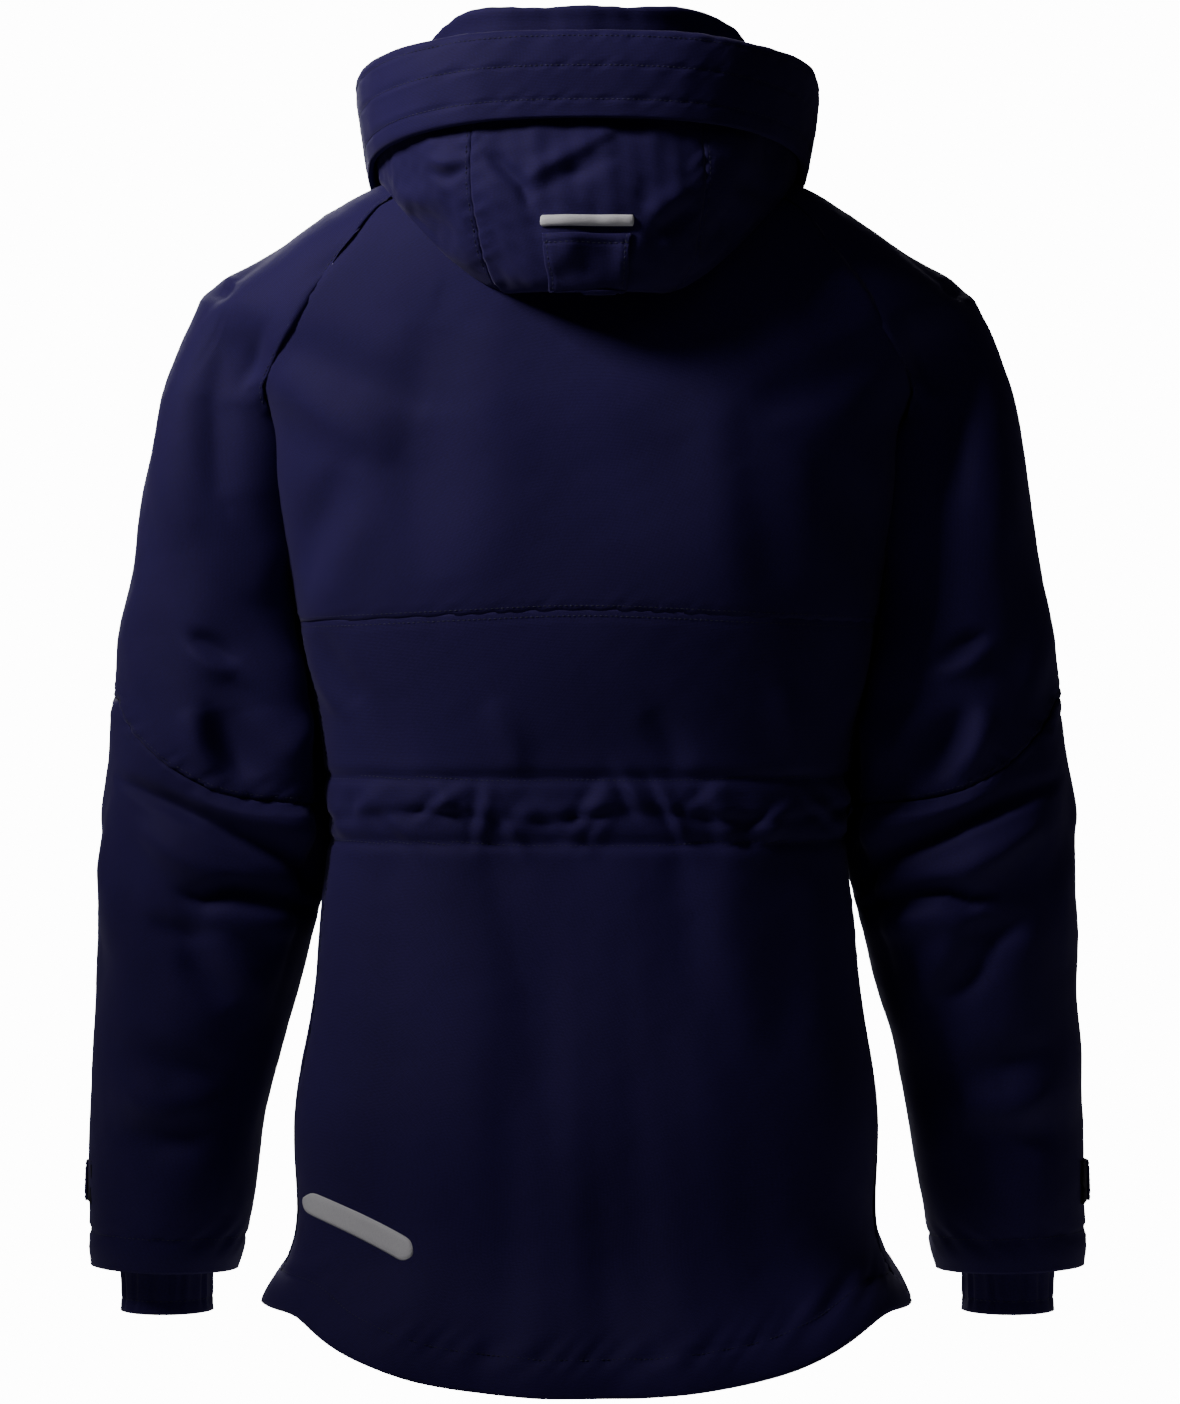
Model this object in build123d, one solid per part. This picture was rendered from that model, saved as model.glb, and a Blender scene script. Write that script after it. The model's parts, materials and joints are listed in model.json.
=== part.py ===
from build123d import *
from math import cos, sin, pi, radians, copysign, sqrt
import os

# Foul weather jacket, millimetres. +X is the wearer's left, the front faces -Y, +Z is up.
# The origin is the middle of the neck opening, at the height of the nape.
os.makedirs("parts", exist_ok=True)

CLOTH = 2.5  # coated shell cloth with its seam tape
LINING = 0.8
LINING_DEPTH = 8.2  # lining's outer face, inside the shell's
ZIP_SLOPE = 0.058  # the front leans forward going down
ZIP_DEPTH_AT_0 = 98.5  # front line's distance from the origin at Z = 0
ZIP_SLOT = 8.0  # half the gap between the two front panels
SIDE_SEAM_Y = 25.0
YOKE_Z = -289.0
ELBOW_Z = -418.0
JOINT_GAP = 0.4
SIDE_HEM_Z = -735.0
BAND_Z = -697.0  # top of the cuff band
FLAP_LIFT = 4.0  # gap between the front and the storm flap
FLAP_THICK = 3.5
FLAP_HALF = 32.0
FLAP_LOW = -698.0
FLAP_TOP = -4.0
SNAP_HEIGHTS = (-40, -165, -290, -415, -540, -665)
POCKET_X = 92.0
POCKET_Z = -515.0
POCKET_HALF = 48.0
POCKET_FLAP = 52.0

# height, half width, depth of the back
TORSO = (
    (6, 92, 74),
    (-13, 138, 84),
    (-33, 177, 92),
    (-52, 211, 98),
    (-80, 237, 106),
    (-120, 226, 114),
    (-160, 211, 120),
    (-240, 198, 122),
    (-320, 182, 114),
    (-420, 168, 100),
    (-490, 174, 104),
    (-600, 187, 118),
    (-740, 199, 130),
    (-800, 203, 134),
)
# outer edge (x, z), inner edge (x, z), middle y, half depth
ARM = (
    ((180, -60), (128, -140), -8, 54),
    ((257, -92), (186, -178), -14, 62),
    ((280, -160), (188, -225), -18, 66),
    ((293, -229), (187, -277), -22, 68),
    ((305, -305), (182, -336), -24, 69),
    ((314, -374), (175, -398), -26, 69),
    ((319, -440), (178, -455), -29, 67),
    ((322, -510), (189, -519), -36, 64),
    ((326, -592), (208, -597), -46, 59),
    ((331, -719), (230, -723), -62, 52),
)
# height, half width, depth of the back
POUCH = (
    (-97, 38, 134),
    (-92, 62, 143),
    (-83, 84, 148),
    (-60, 110, 155),
    (-25, 131, 157),
    (0, 136, 153),
    (15, 139, 148),
    (50, 144, 148),
)
BRIM = (
    (-40, 134, 148),
    (-13, 141, 154),
    (20, 148, 156),
    (45, 151, 156),
    (60, 151, 154),
    (80, 145, 148),
)
RAGLAN = ((80, 5), (133, -31), (154, -60), (187, -107), (203, -136), (211, -157))
BACK_HEM = ((-190, -735), (-146, -759), (-84, -774), (0, -780), (84, -774), (146, -759), (190, -735))
SHOULDER = (257.0, -92.0)
STEP = 0.5  # for slopes measured on the surface
ARMPIT = (186.0, -178.0)

nodes = {}


def pchip(rows, z, col):
    """A monotone cubic through the rows' heights and one of their columns."""
    rows = sorted(rows)
    zs = [r[0] for r in rows]
    v = [r[col] for r in rows]
    if z <= zs[0]:
        return v[0]
    if z >= zs[-1]:
        return v[-1]
    d = [(v[i + 1] - v[i]) / (zs[i + 1] - zs[i]) for i in range(len(zs) - 1)]
    m = [d[0]]
    for i in range(1, len(d)):
        p = d[i - 1] * d[i]
        m.append(0 if p <= 0 else 2 * p / (d[i - 1] + d[i]))
    m.append(d[-1])
    i = max(k for k in range(len(zs) - 1) if zs[k] <= z)
    h = zs[i + 1] - zs[i]
    t = (z - zs[i]) / h
    low = v[i] * (1 + 2 * t) * (1 - t) ** 2 + m[i] * h * t * (1 - t) ** 2
    return low + v[i + 1] * t * t * (3 - 2 * t) + m[i + 1] * h * t * t * (t - 1)


def zip_line(z):
    return ZIP_DEPTH_AT_0 - ZIP_SLOPE * z


def front(z):
    """Depth of the front: straight along the zip, drawn in under the collar."""
    return zip_line(z) - (22 * ((z + 60) / 66) ** 2 if z > -60 else 0)


def closed(points):
    """A smooth closed curve with even parameters, so that lofts through several stay light."""
    even = [i / len(points) for i in range(len(points) + 1)]
    return Wire([Edge.make_spline(points, periodic=True, parameters=even)])


def ring(a, back, ahead, height, n=2.5, count=24):
    """A closed rounded outline; height gives z from y."""
    points = []
    for i in range(count):
        t = 2 * pi * i / count
        c = cos(t)
        s = sin(t)
        x = a * copysign(abs(c) ** (2 / n), c)
        y = (back if s > 0 else ahead) * copysign(abs(s) ** (2 / n), s)
        points.append(Vector(x, y, height(y)))
    return closed(points)


def torso(g, heights=None):
    """The torso filled in, offset outward by g."""
    if heights is None:
        heights = (6, -4, -14, -24, -36, -50, -66, -82, -100, -125, -155, -190, -230)
        heights += (-275, -320, -370, -420, -460, -500, -560, -630, -710, -800)
    rings = []
    for z in heights:
        rings.append(
            ring(pchip(TORSO, z, 1) + g, pchip(TORSO, z, 2) + g, front(z) + g, lambda y, z=z: z)
        )
    return Solid.make_loft(rings)


def surface_y(x, z, g=0.0):
    """Y of the torso's front at (x, z), offset outward by g."""
    a = pchip(TORSO, z, 1) + g
    return -(front(z) + g) * (1 - (abs(x) / a) ** 2.5) ** 0.4


def on_front(x, z, g):
    """A location on the front, offset by g, with local Z pointing out of the cloth."""
    dx = (surface_y(x + STEP, z) - surface_y(x - STEP, z)) / (2 * STEP)
    dz = (surface_y(x, z + STEP) - surface_y(x, z - STEP)) / (2 * STEP)
    out = Vector(dx, -1, dz).normalized()
    return Plane(origin=Vector(x, surface_y(x, z), z) + out * g, z_dir=out).location


def table_loft(rows, g, low, high, step, ahead=70.0):
    """A filled loft of one of the hood's tables between two heights."""
    count = max(2, round((high - low) / step))
    rings = []
    for i in range(count + 1):
        z = low + (high - low) * i / count
        a = pchip(rows, z, 1) + g
        rings.append(ring(a, pchip(rows, z, 2) + g, ahead + g, lambda y, z=z: z))
    return Solid.make_loft(rings)


def arm_ring(row, g):
    (xo, zo), (xi, zi), yc, depth = row
    mid = Vector((xo + xi) / 2, yc, (zo + zi) / 2)
    length = sqrt((xo - xi) ** 2 + (zo - zi) ** 2)
    u = Vector((xo - xi) / length, 0, (zo - zi) / length)
    points = []
    for i in range(20):
        t = 2 * pi * i / 20
        points.append(mid + u * ((length / 2 + g) * cos(t)) + Vector(0, (depth + g) * sin(t), 0))
    return closed(points)


def arm(g, rows=ARM):
    """The left sleeve filled in, offset outward by g."""
    return Solid.make_loft([arm_ring(r, g) for r in rows])


def neck(s, g):
    """One of the collar's tilted outlines: s is 0 at the base and 1 at the top."""
    z_front = -62 + 107 * s
    z_back = 2 + 92 * s
    a = 92 + 13 * s + g
    back = 72 + 13 * s + g
    ahead = zip_line(z_front) + 1.5 + g
    return ring(
        a, back, ahead, lambda y: z_front + (z_back - z_front) * (y + ahead) / (back + ahead), 2.2
    )


def neck_loft(g, low, high):
    return Solid.make_loft([neck(low + (high - low) * i / 3, g) for i in range(4)])


def block(x0, x1, y0, y1, z0, z1):
    return Pos((x0 + x1) / 2, (y0 + y1) / 2, (z0 + z1) / 2) * Box(x1 - x0, y1 - y0, z1 - z0)


def prism_y(points, y0=-300.0, y1=300.0):
    """An outline in X and Z, pushed along Y."""
    wire = Wire.make_polygon([Vector(x, y0, z) for x, z in points], close=True)
    return Solid.extrude(Face(wire), Vector(0, y1 - y0, 0))


def prism_z(points, z0, z1):
    wire = Wire.make_polygon([Vector(x, y, z0) for x, y in points], close=True)
    return Solid.extrude(Face(wire), Vector(0, 0, z1 - z0))


def mirrored(shape):
    return mirror(shape, Plane.YZ)


def biggest(shape):
    """The largest solid of a boolean's result, without its crumbs."""
    return max(shape.solids(), key=lambda s: s.volume)


def keep(name, shape):
    """Store a node: every real solid in the shape, without crumbs under 1 mm3."""
    solids = [s for s in shape.solids() if s.volume > 1]
    nodes[name] = solids[0] if len(solids) == 1 else Compound(solids)


def both(name, shape):
    keep(name + "_left", shape)
    keep(name + "_right", mirrored(shape))


ZIP = Plane(origin=(0, -ZIP_DEPTH_AT_0, 0), x_dir=(1, 0, 0), z_dir=(0, ZIP_SLOPE, 1))


def zip_block(x0, x1, depth0, depth1, h0, h1):
    """A block in the zip's frame: depth is inward from the front, h runs up along the zip."""
    at = Pos((x0 + x1) / 2, (depth0 + depth1) / 2, (h0 + h1) / 2)
    return ZIP * at * Box(x1 - x0, depth1 - depth0, h1 - h0)


def zip_post(x, depth0, depth1, h, r):
    """A round post through the front, square to the zip."""
    return ZIP * Pos(x, (depth0 + depth1) / 2, h) * Rot(90, 0, 0) * Cylinder(r, depth1 - depth0)


# filled shapes that the cloth is cut from
outer = torso(0)
inner = torso(-CLOTH)
collar_fill = neck_loft(0, 0, 1)
arm_out = arm(0)
tail_row = ((332, -760), (231, -764), -66, 51)
arm_in = arm(-CLOTH, ARM + (tail_row,))
beyond = 40.0
slope = (SHOULDER[1] - ARMPIT[1]) / (SHOULDER[0] - ARMPIT[0])


def sleeve_line(x, drop):
    return SHOULDER[1] + slope * (x - SHOULDER[0]) - drop


above = prism_y(
    (
        (100, sleeve_line(100, 0)),
        (SHOULDER[0] + beyond, sleeve_line(SHOULDER[0] + beyond, 0)),
        (SHOULDER[0] + beyond, 100),
        (100, 100),
    )
)
below = prism_y(
    (
        (90, sleeve_line(90, JOINT_GAP)),
        (SHOULDER[0] + beyond, sleeve_line(SHOULDER[0] + beyond, JOINT_GAP)),
        (420, 0),
        (420, ELBOW_Z),
        (90, ELBOW_Z),
    )
)
arm_top = biggest(arm_out & above)
armhole = biggest(arm_in & block(100, 400, -200, 200, -165, 60))

shell = outer + arm_top
shell = shell + mirrored(arm_top)
shell = shell - inner
shell = shell - armhole
shell = shell - mirrored(armhole)
shell = shell - collar_fill

# hem: higher at the front, a dropped tail at the back
tail_edge = Edge.make_spline([Vector(x, SIDE_SEAM_Y, z) for x, z in BACK_HEM])
tail_frame = Wire.make_polygon(
    [
        Vector(190, SIDE_SEAM_Y, SIDE_HEM_Z),
        Vector(260, SIDE_SEAM_Y, SIDE_HEM_Z),
        Vector(260, SIDE_SEAM_Y, -900),
        Vector(-260, SIDE_SEAM_Y, -900),
        Vector(-260, SIDE_SEAM_Y, SIDE_HEM_Z),
        Vector(-190, SIDE_SEAM_Y, SIDE_HEM_Z),
    ],
    close=False,
)
under_back = Solid.extrude(Face(Wire([tail_edge] + list(tail_frame.edges()))), Vector(0, 200, 0))
hem_wire = Wire.make_polygon(
    [
        Vector(-260, SIDE_SEAM_Y, SIDE_HEM_Z),
        Vector(-260, -200, SIDE_HEM_Z + 29),
        Vector(-260, -200, -900),
        Vector(-260, SIDE_SEAM_Y, -900),
    ],
    close=True,
)
under_front = Solid.extrude(Face(hem_wire), Vector(520, 0, 0))
shell = shell - under_back
shell = shell - under_front

# panels
raglan = prism_y(RAGLAN + ((320, -157), (320, 80), (80, 80)))
both("shoulder_panel", biggest(shell & raglan))
trunk = shell - raglan - mirrored(raglan)
back = trunk & block(-300, 300, SIDE_SEAM_Y, 300, -900, 100)
keep("back_yoke", back & block(-300, 300, 0, 300, YOKE_Z, 100))
keep("back_panel", back & block(-300, 300, 0, 300, -900, YOKE_Z))
pocket_slot = block(POCKET_X - 36, POCKET_X + 36, -200, 0, POCKET_Z - 20, POCKET_Z - 10)
hem_hole_at = (150, -700)
hem_hole = on_front(hem_hole_at[0], hem_hole_at[1], 0) * Cylinder(3.2, 20)
front_left = biggest(trunk & block(ZIP_SLOT, 300, -300, SIDE_SEAM_Y, -900, 100))
both("front_panel", front_left - pocket_slot - hem_hole)

# collar: shell cloth outside, lining inside, open at the zip
zip_gap = block(-ZIP_SLOT, ZIP_SLOT, -140, -60, -120, 90)
tape_gap = zip_block(-23, 23, CLOTH, 14, -760, 60)
collar_mid = neck_loft(-CLOTH, -0.02, 1.02)
collar_in = neck_loft(-4.0, -0.04, 1.04)
keep("collar", collar_fill - collar_mid - inner - zip_gap)
collar_lining = neck_loft(-CLOTH - 0.1, 0.02, 0.985) - collar_in - zip_gap - tape_gap
keep("collar_lining", biggest(collar_lining - torso(-CLOTH - 0.6)))

# stowed hood: pouch in three panels, brim turned back round the collar
band = table_loft(BRIM, 0, -40, 80, 12) - table_loft(BRIM, -4, -44, 84, 12)
brim_zone = Solid.extrude(
    Face(
        Wire.make_polygon(
            [
                Vector(-200, -66, -22),
                Vector(-200, 160, 15),
                Vector(-200, 160, 70),
                Vector(-200, -66, 42),
            ],
            close=True,
        )
    ),
    Vector(400, 0, 0),
)
brim_at = Plane(origin=(134.5, -34.7, 18), z_dir=(0.749, -0.662, 0)).location
brim_hole = brim_at * Cylinder(3.2, 12)
brim = biggest((band & brim_zone) - collar_fill - outer)
pouch = table_loft(POUCH, 0, -97, 50, 9)
pouch = pouch - table_loft(POUCH, -3, -94, 56, 9)
pouch = pouch - outer - collar_fill
pouch = pouch & block(-200, 200, -66, 200, -120, 60)
pouch = biggest(pouch - brim)
seam_x = 73.0
keep("hood_centre", biggest(pouch & block(-seam_x, seam_x, 0, 200, -120, 60)))
both("hood_side", biggest(pouch & block(seam_x, 200, -70, 200, -120, 60)))
keep("hood_brim", brim - brim_hole - mirrored(brim_hole))


def pouch_skin(g0, g1, low, high):
    """A thin layer over the pouch between two heights."""
    return table_loft(POUCH, g1, low, high, 9) - table_loft(POUCH, g0, low - 2, high + 2, 9)


piping_zone = block(-28, 28, 100, 200, -52.5, -45.5)
keep("hood_reflective_piping", pouch_skin(0.1, 1.5, -60, -40) & piping_zone)
tab_zone = prism_y(((-27.5, -56.5), (27.5, -56.5), (23, -95), (-23, -95)), 100, 200)
keep("hood_tab", pouch_skin(1.0, 3.4, -97, -50) & tab_zone)


def eyelet(at, cloth):
    """A rolled metal eyelet along local Z, through a 3.2 mm radius hole in the cloth."""
    up = cloth / 2 + 0.45
    tube = Cylinder(3.1, 2 * up) - Cylinder(2.1, 12)
    rim = Cylinder(5.2, 0.8) - Cylinder(2.1, 12)
    return at * (tube + Pos(0, 0, up) * rim + Pos(0, 0, -up) * rim)


brim_eyelet = eyelet(brim_at, 4.8) - nodes["hood_brim"]
keep("hood_eyelets", brim_eyelet + mirrored(brim_eyelet))


# hanger loop across the back of the neck
loop = block(-36, 36, 57.5, 59, 4, 12)
loop = loop + block(28, 36, 57.5, 80, 4, 12) + block(-36, -28, 57.5, 80, 4, 12)
keep("hanger_loop", loop & neck_loft(-4.0, 0, 1))

# lining, facings and the waist elastic inside the shell
lining_out = torso(-LINING_DEPTH)
gap = inner - lining_out
lining = lining_out - torso(-LINING_DEPTH - LINING)
lining = lining - armhole - mirrored(armhole) - neck_loft(1, -0.3, 1)
lining = lining & block(-300, 300, -300, 300, -694, 100)
lining = lining - block(-26, 26, -200, -40, -900, 100)
keep("body_lining", biggest(lining))
strip = gap & block(26, 42, -200, -40, -694, -70)
both("front_facing", biggest(strip))
hem_ring = gap & block(-300, 300, -300, 300, -694, -672)
keep("hem_facing", biggest(hem_ring - block(-26, 26, -200, -40, -900, 100)
                           - block(24, 43, -200, -40, -900, 100)
                           - block(-43, -24, -200, -40, -900, 100)))
WAIST = (-455, -435, -415, -395, -375)
elastic = torso(-3.4, WAIST) - torso(-4.9, WAIST)
keep("waist_elastic", elastic & block(-300, 300, 40, 200, -435, -399))
casing = torso(-5.2, WAIST) - torso(-6.0, WAIST)
keep("waist_casing", casing & block(-300, 300, 34, 200, -440, -394))

# front zip
TAPE = (2.5, 3.5)
tape = zip_block(3.4, 22, TAPE[0], TAPE[1], -703, 38)
both("zip_tape", biggest(tape - nodes["front_panel_left"] - nodes["collar"]))
both("zip_teeth", zip_block(0.6, 3.4, 1.7, 4.3, -689, 34))
keep("zip_box", zip_block(-3.4, 3.4, 1.2, 4.8, -703, -689.2))
stops = zip_block(0.6, 3.4, 1.5, 4.5, 39, 41.5) + zip_block(3.4, 5.0, 2.0, 4.0, 39, 41.5)
keep("zip_top_stops", stops + mirrored(stops))
PIN_H = 30.0
PIN_DEPTH = -1.4
slider = zip_block(-5.5, 5.5, 0.3, 1.4, 24, 37) + zip_block(-5.5, 5.5, 4.6, 5.7, 24, 37)
slider = slider + zip_block(-0.3, 0.3, 1.3, 4.7, 32, 37)
for side in (-1, 1):
    near = min(side * 4.2, side * 5.5)
    far = max(side * 4.2, side * 5.5)
    slider = slider + zip_block(near, far, 1.3, 2.1, 24, 37)
    slider = slider + zip_block(near, far, 3.9, 4.7, 24, 37)
    near = min(side * 1.6, side * 2.6)
    far = max(side * 1.6, side * 2.6)
    slider = slider + zip_block(near, far, -2.4, 0.4, PIN_H - 2, PIN_H + 2)
pin = ZIP * Pos(0, PIN_DEPTH, PIN_H) * Rot(0, 90, 0) * Cylinder(0.5, 4)
keep("zip_slider", slider + pin)
pull = zip_block(-1.2, 1.2, PIN_DEPTH - 1.1, PIN_DEPTH + 1.1, PIN_H - 4, PIN_H + 1.2)
pull = pull + zip_block(-4, 4, PIN_DEPTH - 0.7, PIN_DEPTH + 0.7, PIN_H - 25, PIN_H - 3.4)
pull = pull - ZIP * Pos(0, PIN_DEPTH, PIN_H) * Rot(0, 90, 0) * Cylinder(0.6, 4)
pull = pull - zip_post(0, -4, 4, PIN_H - 20, 2)
keep("zip_pull", pull)

# storm flap on the wearer's left front, snapping to the right
face = -FLAP_LIFT - FLAP_THICK
flap = zip_block(-FLAP_HALF, 33.4, face, -FLAP_LIFT, FLAP_LOW, FLAP_TOP)
studs = None
snaps = None
for h in SNAP_HEIGHTS:
    flap = flap - zip_post(-22, face - 1, 0, h, 5)
    stud = zip_post(-22, -1.2, 0.0, h, 5) + zip_post(-22, -5.0, -1.0, h, 2)
    stud = stud + zip_post(-22, -0.2, 1.5, h, 1.5)
    snap = zip_post(-22, face - 1.5, face, h, 7) + zip_post(-22, face, -FLAP_LIFT - 0.2, h, 5)
    snap = snap - zip_post(-22, face + 0.8, 0, h, 2.6)
    studs = stud if studs is None else studs + stud
    snaps = snap if snaps is None else snaps + snap
keep("storm_flap", flap)
keep("storm_flap_snaps", snaps)
keep("flap_studs", studs - outer - neck_loft(0, 0, 1.2))
root = zip_block(34.2, 42, face, 3, FLAP_LOW, FLAP_TOP)
keep("storm_flap_root", biggest(root - outer - neck_loft(0, 0, 1.2)))

# lower pockets: a flap outside, a flat bag inside
POCKET_HEIGHTS = tuple(range(-660, -479, 20))
run = (surface_y(POCKET_X + STEP, POCKET_Z) - surface_y(POCKET_X - STEP, POCKET_Z)) / (2 * STEP)
lean = (surface_y(POCKET_X, POCKET_Z + STEP) - surface_y(POCKET_X, POCKET_Z - STEP)) / (2 * STEP)
along = Vector(1, run, 0).normalized()
up = Vector(0, lean, 1).normalized()
pocket = Plane(
    origin=(POCKET_X, surface_y(POCKET_X, POCKET_Z), POCKET_Z), x_dir=along, z_dir=along.cross(
        up.cross(along)).normalized()
)


def pocket_block(u0, u1, depth0, depth1, h0, h1):
    at = Pos((u0 + u1) / 2, (depth0 + depth1) / 2, (h0 + h1) / 2)
    return pocket * at * Box(u1 - u0, depth1 - depth0, h1 - h0)


def skin(g0, g1, heights):
    """A thin layer over the torso between two heights."""
    return torso(g1, heights) - torso(g0, heights)


flap_zone = pocket_block(-POCKET_HALF, POCKET_HALF, -20, 40, -POCKET_FLAP, 0)
both("pocket_flap", biggest(skin(1.4, 3.6, POCKET_HEIGHTS) & flap_zone))


caps = None
pocket_studs = None
for x in (POCKET_X - 30, POCKET_X + 30):
    z = POCKET_Z - 40
    cap = on_front(x, z, 3.7) * Pos(0, 0, 0.8) * Cylinder(6.5, 1.6)
    stud = on_front(x, z, 0.05) * Pos(0, 0, 0.5) * Cylinder(5, 1.0)
    caps = cap if caps is None else caps + cap
    pocket_studs = stud if pocket_studs is None else pocket_studs + stud
both("pocket_flap_snaps", caps)
keep("pocket_studs", pocket_studs + mirrored(pocket_studs))
bag = skin(-7.2, -3.4, POCKET_HEIGHTS) & block(POCKET_X - 46, POCKET_X + 46, -200, 0, -650, -505)
room = skin(-6.3, -4.3, POCKET_HEIGHTS) & block(POCKET_X - 44, POCKET_X + 44, -200, 0, -648, -507)
both("pocket_bag", biggest(bag - room - pocket_slot))

# reflective strip low on the left of the tail, eyelets at the hem and the hood's brim
strip_shape = Pos(146, 0, -678) * Rot(90, 0, 0) * SlotOverall(78, 15, rotation=21)
strip_zone = Solid.extrude(strip_shape.faces()[0], Vector(0, 200, 0))
if strip_zone.bounding_box().max.Y < 50:
    strip_zone = Solid.extrude(strip_shape.faces()[0], Vector(0, -200, 0)).mirror(Plane.XZ)
TAIL = (-740, -720, -700, -680, -660, -640, -620)
keep("reflective_tail_strip", biggest(skin(0.1, 0.8, TAIL) & strip_zone))
hem_at = on_front(hem_hole_at[0], hem_hole_at[1], -CLOTH / 2)
hem_eyelet = eyelet(hem_at, CLOTH + 0.8) - nodes["front_panel_left"]
keep("hem_eyelets", hem_eyelet + mirrored(hem_eyelet))

# sleeves
trunk_clear = torso(1.0)
trunk_inside = torso(1.0 + CLOTH)
sleeve = (arm_out & below) - trunk_clear
sleeve = sleeve - (arm_in - trunk_inside)
sleeve = biggest(sleeve - armhole)
both("sleeve", sleeve)
low = ELBOW_Z - JOINT_GAP
forearm = (arm_out & block(100, 400, -200, 100, BAND_Z, low)) - arm_in
both("forearm", biggest(forearm))
LOWER = ARM[-4:]
cuff = (arm(0, LOWER) - arm(-4.0, LOWER + (tail_row,))) & block(100, 400, -200, 100, -740, BAND_Z)
both("cuff_band", biggest(cuff))
lined = arm(-5.0, ARM + (tail_row,)) & block(100, 400, -200, 100, -640, low)
both("forearm_lining", biggest(lined - arm(-5.0 - LINING, ARM + (tail_row,))))
CUFF = (
    ((325, -650), (221.2, -654), -53.3, 52.4),
    ((318, -680), (240, -683), -56, 42),
    ((311, -712), (248, -714), -60, 34),
    ((310, -749), (248, -750), -64, 33),
)
storm_cuff = arm(0, CUFF) - arm(-2.0, CUFF)
both("storm_cuff", storm_cuff)

# cuff tab with its patch
WRIST = (274.7, -55.5)


def wedge(start, end, z0, z1):
    """A fan of angles, in degrees, round the wrist between two heights."""
    points = [WRIST]
    count = max(2, round(abs(end - start) / 20))
    for i in range(count + 1):
        t = radians(start + (end - start) * i / count)
        points.append((WRIST[0] + 120 * cos(t), WRIST[1] + 120 * sin(t)))
    return prism_z(points, z0, z1)


patch = arm(1.1, LOWER) - arm(0.1, LOWER)
both("cuff_patch", biggest((patch & wedge(-78, 41, -677, -647)) - nodes["forearm_left"]))
tab = arm(3.6, LOWER) - arm(1.5, LOWER)
both("cuff_tab", biggest(tab & wedge(-95, 8, -676, -648)))

for name, shape in nodes.items():
    export_step(shape, "parts/" + name + ".step")
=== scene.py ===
import bpy
import json
import math
import numpy as np
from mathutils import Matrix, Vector
from mathutils.bvhtree import BVHTree


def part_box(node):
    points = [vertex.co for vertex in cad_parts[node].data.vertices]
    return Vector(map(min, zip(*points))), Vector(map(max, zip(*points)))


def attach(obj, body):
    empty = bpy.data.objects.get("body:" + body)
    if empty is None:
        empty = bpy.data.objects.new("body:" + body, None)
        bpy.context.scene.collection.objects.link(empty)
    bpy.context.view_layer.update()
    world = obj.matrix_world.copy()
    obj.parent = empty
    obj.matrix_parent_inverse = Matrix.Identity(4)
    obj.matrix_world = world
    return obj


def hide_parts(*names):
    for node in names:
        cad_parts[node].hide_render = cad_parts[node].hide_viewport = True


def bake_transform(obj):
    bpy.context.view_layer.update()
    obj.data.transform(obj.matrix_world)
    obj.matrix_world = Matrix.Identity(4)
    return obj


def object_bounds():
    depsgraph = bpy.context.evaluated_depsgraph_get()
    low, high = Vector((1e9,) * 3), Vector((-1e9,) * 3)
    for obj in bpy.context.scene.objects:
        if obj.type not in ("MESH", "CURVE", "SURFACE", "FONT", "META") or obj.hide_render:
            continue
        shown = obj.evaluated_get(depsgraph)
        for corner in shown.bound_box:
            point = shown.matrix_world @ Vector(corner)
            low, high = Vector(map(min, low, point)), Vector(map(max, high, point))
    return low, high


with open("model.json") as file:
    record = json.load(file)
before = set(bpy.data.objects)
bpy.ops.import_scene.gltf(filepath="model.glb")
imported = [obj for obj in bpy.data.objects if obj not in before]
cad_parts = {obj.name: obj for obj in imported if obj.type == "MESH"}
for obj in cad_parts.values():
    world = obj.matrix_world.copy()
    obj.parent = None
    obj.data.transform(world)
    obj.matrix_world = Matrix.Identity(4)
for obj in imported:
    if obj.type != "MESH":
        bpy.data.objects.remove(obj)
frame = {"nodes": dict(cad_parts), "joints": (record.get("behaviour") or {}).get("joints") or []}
CAD_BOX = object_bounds()
nodes = frame["nodes"]
MM = 0.001
FULL = 2 * math.pi
SIDES = (("left", 1), ("right", -1))


def link(obj):
    bpy.context.scene.collection.objects.link(obj)
    return obj


# ---------------------------------------------------------------- camera and light
cam_data = bpy.data.cameras.new("camera")
cam_data.lens = 118.3
cam_data.sensor_width = 36.0
cam_data.shift_x = 0.0018
cam_data.clip_end = 60.0
cam = link(bpy.data.objects.new("camera", cam_data))
cam.location = (0.0, 3.0, -0.346)
cam.rotation_euler = (math.pi / 2, 0.0, math.pi)
bpy.context.scene.camera = cam

# name, place, what it points at, side of its square, watts, colour, spread in degrees
for name, at, target, side, watts, color, angle in (
        ("key", (1.5, 0.85, 1.10), (0.08, 0.05, 0.07), 0.6, 2.9, (1.0, 0.97, 0.97), 45),
        ("fill", (0.3, 1.9, 1.7), (0, 0, 0.0), 1.2, 1.6, (0.93, 0.9, 1.0), 180),
        ("front", (0.5, -2.8, 0.8), (0, 0, -0.3), 1.6, 70, (1.0, 1.0, 1.0), 180)):
    data = bpy.data.lights.new(name, "AREA")
    data.size = side
    data.energy = watts
    data.color = color
    data.spread = math.radians(angle)
    lamp = link(bpy.data.objects.new(name, data))
    lamp.location = at
    lamp.rotation_euler = (Vector(target) - Vector(at)).to_track_quat("-Z", "Y").to_euler()

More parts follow.
